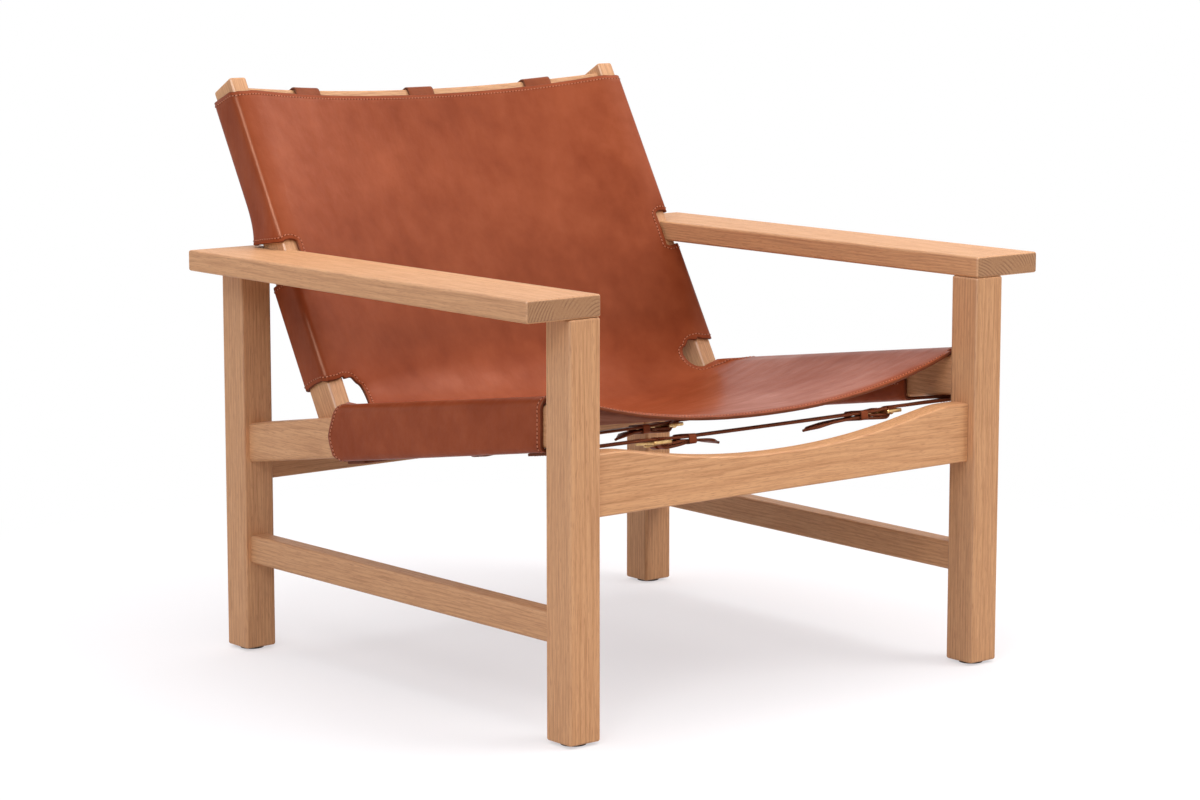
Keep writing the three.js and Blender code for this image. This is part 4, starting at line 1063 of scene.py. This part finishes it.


# Stitches. A waxed thread of the leather's own colour is sewn all along the sling's edges, and in
# a square through each billet's root. Each stitch is drawn into the leather. Between it and the next
# lies a small flat dark dot: painted shade that stands for the shade in the stitch hole there.
stitch_pitch, stitch_length, stitch_width, shade_dot_depth = 0.0050, 0.0034, 0.0015, 0.0007
seam_inset, front_seam_inset, thread_lift = 0.0050, 0.0038, 0.0001
panel_probe, wrap_probe = (0.002, 0.001), (0.002, 0.02)
thread, tree = new_finish("waxed_thread")
where = add(tree, "ShaderNodeTexCoord", {}).outputs["Object"]
twist = noise(tree, where, 900, 2)
thread_tone = ramp(tree, twist, [(0.3, (0.40, 0.105, 0.042)), (0.7, (0.62, 0.215, 0.095))])
finish_surface(tree, thread_tone, 0.6, bump(tree, twist, 0.5, 0.0003))
# A near-black finish for the dots of painted shade at the stitch holes.
hole_shade = leather_finish("painted_hole_shade", (0.075, 0.020, 0.009), (0.055, 0.014, 0.006),
                         (0.035, 0.009, 0.004), 0.7, pore_depth=0.2)


def seam_point(find, s, t, steps, way=1):
    """A point on the leather's outer face, and the way out of it. find(s, t) gives the middle layer."""
    along = find(s + steps[0], t) - find(s - steps[0], t)
    across = find(s, t + steps[1]) - find(s, t - steps[1])
    up = way * np.cross(across, along)
    up /= np.linalg.norm(up)
    return find(s, t) + up * (hide_half + thread_lift), up


def panel_seam(side, ats):
    return [seam_point(panel_point, s, side * x, panel_probe) for s, x in ats]


def wrap_seam(side, edge_s, inset, cs):
    """Along a wrap's edge, inside it: inset is minus where the wrap ends there. The step away from
    the edge is corrected until it spans the inset."""
    def find(s, c):
        return wrap_point(side, s, c)

    seam = []
    for c in cs:
        edge, step = find(edge_s, c), math.copysign(0.02, inset)
        for _ in range(4):
            step *= min(abs(inset) / np.linalg.norm(find(edge_s + step, c) - edge), 3)
        seam.append(seam_point(find, edge_s + step, c, (abs(step) / 9, wrap_probe[1]), side))
    return seam


def flap_seam(side, first, last, c):
    """Along a flap's loose edge, from one place to another, short of the flap's ends."""
    places = np.linspace(first + flap_clear, last - flap_clear, 24)
    return [seam_point(lambda s, t: wrap_point(side, s, t), s, c, wrap_probe, side) for s in places]


def edge_seam(starts, panel, ends, cs):
    """Round one wrap, over the panel and round the other. A wrap gives its side, place and inset."""
    return [*reversed(wrap_seam(*starts, cs)), *panel, *wrap_seam(*ends, cs)]


seat_length, back_length = (edge_length(np.linspace(s, s + 1, 20)) for s in (0, 2))
head_s, front_s = 3 - seam_inset / back_length, front_seam_inset / seat_length
flap_clear, front_clear, arm_seam_x = 0.03, 0.012, post_inner - 0.0005
flap_seat_c = 11 - seam_inset / (inner_flap - wrap_bend)
flap_back_c = 11 - 3 * seam_inset / (post_width + wrap_gap + hide_half - wrap_bend + rear_flap)
outward_cs, front_cs = np.linspace(0.3, 10.4, 60), np.linspace(0.4, 7.3, 40)
front_x = panel_half(0) - front_clear
across_head = [(head_s, x) for x in np.linspace(-post_inner, post_inner, 90)]
across_front = [(front_s, x) for x in np.linspace(-front_x, front_x, 90)]
seams = [
    edge_seam((-1, 3, -seam_inset), panel_seam(1, across_head), (1, 3, -seam_inset), outward_cs),
    edge_seam((-1, wrap_front, seam_inset), panel_seam(1, across_front),
              (1, wrap_front, seam_inset), front_cs),
]
notch_seam_places = (1.29, 1.55, 1.78, 1.932, 2.036)
notch_line = []
for turn in np.linspace(-1, 1, 25):
    depth = (notch_round + seam_inset) * (1 - math.sqrt(1 - turn * turn))
    s = float(np.interp(turn, notch_across, notch_seam_places))
    notch_line.append((s, notch_inner - seam_inset + depth))
arm_line = [(lower_wrap_head - 0.0145, arm_seam_x + 0.0025), (lower_wrap_head - 0.0115, arm_seam_x + 0.0008),
            *[(s, arm_seam_x) for s in np.linspace(lower_wrap_head - 0.006, upper_wrap_foot - 0.010, 10)],
            (upper_wrap_foot - 0.004, arm_seam_x + 0.0008), (upper_wrap_foot + 0.001, arm_seam_x + 0.0025)]
for side in sides.values():
    for below, line, above in ((notch_foot, notch_line, notch_head),
                               (lower_wrap_head, arm_line, upper_wrap_foot)):
        seams.append(edge_seam((side, below, -seam_inset), panel_seam(side, line),
                               (side, above, seam_inset), outward_cs))
    seams.append(flap_seam(side, turn_up_start, notch_foot, flap_seat_c))
    seams.append(flap_seam(side, notch_head, lower_wrap_head, flap_back_c))
    seams.append(flap_seam(side, upper_wrap_foot, 3, flap_back_c))
seams += billet_seams

seam_points, seam_edges, seam_ups = [], [], []
for seam in seams:
    seam_edges += [(len(seam_points) + i, len(seam_points) + i + 1) for i in range(len(seam) - 1)]
    seam_points += [tuple(point) for point, _ in seam]
    seam_ups += [tuple(up) for _, up in seam]
seam_mesh = bpy.data.meshes.new("seam_lines")
seam_mesh.from_pydata(seam_points, seam_edges, [])
up_values = np.array(seam_ups, np.float32).ravel()
seam_mesh.attributes.new("up", "FLOAT_VECTOR", "POINT").data.foreach_set("vector", up_values)
seam_mesh.materials.append(thread)
seam_lines = put("seam_lines", seam_mesh)

sewing = bpy.data.node_groups.new("sewing", "GeometryNodeTree")
sewing.interface.new_socket("Geometry", in_out="INPUT", socket_type="NodeSocketGeometry")
sizes = {}
for label, kind, value in (("Pitch", "Float", stitch_pitch), ("Length", "Float", stitch_length),
                           ("Width", "Float", stitch_width), ("Slant", "Float", math.radians(7)),
                           ("Seed", "Int", 5)):
    socket = sewing.interface.new_socket(label, in_out="INPUT", socket_type=f"NodeSocket{kind}")
    sizes[socket.identifier] = value
sewing.interface.new_socket("Geometry", in_out="OUTPUT", socket_type="NodeSocketGeometry")
given = add(sewing, "NodeGroupInput", {}).outputs


def sew(kind, inputs, **settings):
    return add(sewing, kind, inputs, **settings).outputs[0]


def bead(segments, rings, size, at, finish):
    """A small ball, stretched to a size and moved to its place."""
    ball = sew("GeometryNodeMeshUVSphere", {"Segments": segments, "Rings": rings, "Radius": 0.5})
    size = sew("ShaderNodeCombineXYZ", dict(zip("XYZ", size)))
    moved = sew("GeometryNodeTransform", {"Geometry": ball, "Translation": at, "Scale": size})
    return sew("GeometryNodeSetMaterial", {"Geometry": moved, "Material": finish})


lines = sew("GeometryNodeMeshToCurve", {"Mesh": given["Geometry"]})
spaced = sew("GeometryNodeResampleCurve", {"Curve": lines, "Length": given["Pitch"]}, mode="LENGTH")
half_pitch = sew("ShaderNodeMath", {0: given["Pitch"], 1: 0.5}, operation="MULTIPLY")
between_stitches = sew("ShaderNodeCombineXYZ", {"X": half_pitch})
length, width = given["Length"], given["Width"]
stitch = bead(8, 5, (length, width, width), (0, 0, 0), thread)
# Painted shade: a flat dark dot between stitches, where the stitch hole would lie in shade.
hole = bead(6, 4, (width, width, shade_dot_depth), between_stitches, hole_shade)
joined = sewing.nodes.new("GeometryNodeJoinGeometry")
sewing.links.new(stitch, joined.inputs[0])
sewing.links.new(hole, joined.inputs[0])
up_at = sew("GeometryNodeInputNamedAttribute", {"Name": "up"}, data_type="FLOAT_VECTOR")
tangent = sew("GeometryNodeInputTangent", {})
facing = sew("FunctionNodeAlignRotationToVector", {"Vector": tangent}, axis="X")
facing = sew("FunctionNodeAlignRotationToVector", {"Rotation": facing, "Vector": up_at},
             axis="Z", pivot_axis="X")
wobble = add(sewing, "FunctionNodeRandomValue", {"Min": -0.06, "Max": 0.06, "Seed": given["Seed"]},
             data_type="FLOAT")
wobble_out = next(out for out in wobble.outputs if out.enabled)
slant = sew("ShaderNodeMath", {0: given["Slant"], 1: wobble_out}, operation="ADD")
tilt = sew("FunctionNodeAxisAngleToRotation", {"Axis": (0, 0, 1), "Angle": slant})
facing = sew("FunctionNodeRotateRotation", {"Rotation": facing, "Rotate By": tilt},
             rotation_space="LOCAL")
sewn = sew("GeometryNodeInstanceOnPoints", {"Points": spaced, "Instance": joined.outputs[0],
                                            "Rotation": facing})
sewn = sew("GeometryNodeRealizeInstances", {"Geometry": sewn})
add(sewing, "NodeGroupOutput", {"Geometry": sewn})
sewer = seam_lines.modifiers.new("sewing", "NODES")
sewer.node_group = sewing
for identifier, value in sizes.items():
    sewer[identifier] = value
stitch_mesh = evaluated_mesh(seam_lines)
stitch_mesh.name = "stitches"
stitch_mesh.polygons.foreach_set("use_smooth", [True] * len(stitch_mesh.polygons))
bpy.data.objects.remove(seam_lines)
stitches = put("sling_stitches", stitch_mesh)
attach(stitches, "chair")


# Photo studio. A white sweep that fades to plain white away from the chair and keeps its pale soft
# shadow, light from all round and most from above, a broad lamp at the front, one on the left and
# one overhead. Two more lamps only put the sheen on the leather and wood.
def seen_directly(tree):
    """1 where a ray comes straight from the camera, a reflection or a clear body, else 0."""
    path = add(tree, "ShaderNodeLightPath", {}).outputs
    seen = calc(tree, "MAXIMUM", path["Is Camera Ray"], path["Is Glossy Ray"])
    return calc(tree, "MAXIMUM", seen, path["Is Transmission Ray"])


sweep, tree = new_finish("studio_sweep")
where = add(tree, "ShaderNodeTexCoord", {}).outputs["Object"]
from_chair = add(tree, "ShaderNodeVectorMath", {0: where}, operation="LENGTH").outputs["Value"]
fade = rerange(tree, from_chair, 0.45, 1.25, interpolation_type="SMOOTHSTEP")
paper = add(tree, "ShaderNodeBsdfDiffuse", {"Color": (0.46, 0.455, 0.46, 1)})
lift = add(tree, "ShaderNodeEmission", {"Color": (1, 0.965, 0.98, 1), "Strength": 0.54})
near = add(tree, "ShaderNodeAddShader", {0: paper.outputs[0], 1: lift.outputs[0]})
white = add(tree, "ShaderNodeEmission", {"Color": (1, 1, 1, 1), "Strength": 1.0})
shown = add(tree, "ShaderNodeMixShader", {0: fade, 1: near.outputs[0], 2: white.outputs[0]})
bounce = add(tree, "ShaderNodeBsdfDiffuse", {"Color": (0.62, 0.61, 0.62, 1)})
floor_look = add(tree, "ShaderNodeMixShader", {0: seen_directly(tree), 1: bounce.outputs[0],
                                               2: shown.outputs[0]})
add(tree, "ShaderNodeOutputMaterial", {"Surface": floor_look.outputs[0]})
reach = 14
floor_mesh = bpy.data.meshes.new("floor")
floor_mesh.from_pydata([(-reach, -reach, 0), (reach, -reach, 0), (reach, reach, 0), (-reach, reach, 0)],
                       [], [(0, 1, 2, 3)])
floor_mesh.materials.append(sweep)
put("floor", floor_mesh)

world = bpy.data.worlds.new("studio")
scene.world = world
world.use_nodes = True
tree = world.node_tree
tree.nodes.clear()
heading = add(tree, "ShaderNodeSeparateXYZ", {0: add(tree, "ShaderNodeTexCoord", {}).outputs["Generated"]})
overhead = rerange(tree, heading.outputs["Z"], 0, 0.9, 0.42, 0.95)
around = add(tree, "ShaderNodeBackground", {"Color": (0.97, 0.98, 1.0, 1), "Strength": overhead})
backdrop = add(tree, "ShaderNodeBackground", {"Color": (1, 1, 1, 1), "Strength": 1.0})
mixed = add(tree, "ShaderNodeMixShader", {0: seen_directly(tree), 1: around.outputs[0],
                                          2: backdrop.outputs[0]})
add(tree, "ShaderNodeOutputWorld", {"Surface": mixed.outputs[0]})

# Each lamp's place, size, power and colour, and the kind of light that it doesn't give.
warm_white, cool_white, plain_white = (1, 0.985, 0.96), (0.97, 0.985, 1), (1, 0.99, 0.98)
lamps = (
    ("key_lamp", (2.0, -2.3, 3.0), 2.2, 54, warm_white, "visible_glossy"),
    ("side_lamp", (-2.7, -2.1, 2.3), 1.1, 22, cool_white, None),
    ("top_lamp", (0, 0.2, 3.4), 3.0, 44, plain_white, "visible_glossy"),
    ("strip_lamp", (-2.7, -1.0, 2.5), 1.5, 320, warm_white, "visible_diffuse"),
    ("sheen_lamp", (2.2, -0.3, 2.6), 0.9, 18, warm_white, "visible_diffuse"),
)
for name, place, size, power, colour, unseen in lamps:
    lamp = bpy.data.lights.new(name, "AREA")
    lamp.shape, lamp.size, lamp.energy, lamp.color = "DISK", size, power, colour
    holder = put(name, lamp)
    holder.location = place
    aim = Vector((0, 0, 0.4)) - Vector(place)
    holder.rotation_euler = aim.to_track_quat("-Z", "Y").to_euler()
    if unseen:
        setattr(holder, unseen, False)

lens = bpy.data.cameras.new("lens")
lens.sensor_width, lens.lens = 36, 97.53
camera = put("camera", lens)
camera.location = (-2.585, -2.7826 + front_y, 0.9441)
camera.rotation_euler = (math.radians(81.35), 0, math.radians(-39.37))
scene.camera = camera
scene.view_settings.view_transform = "Standard"
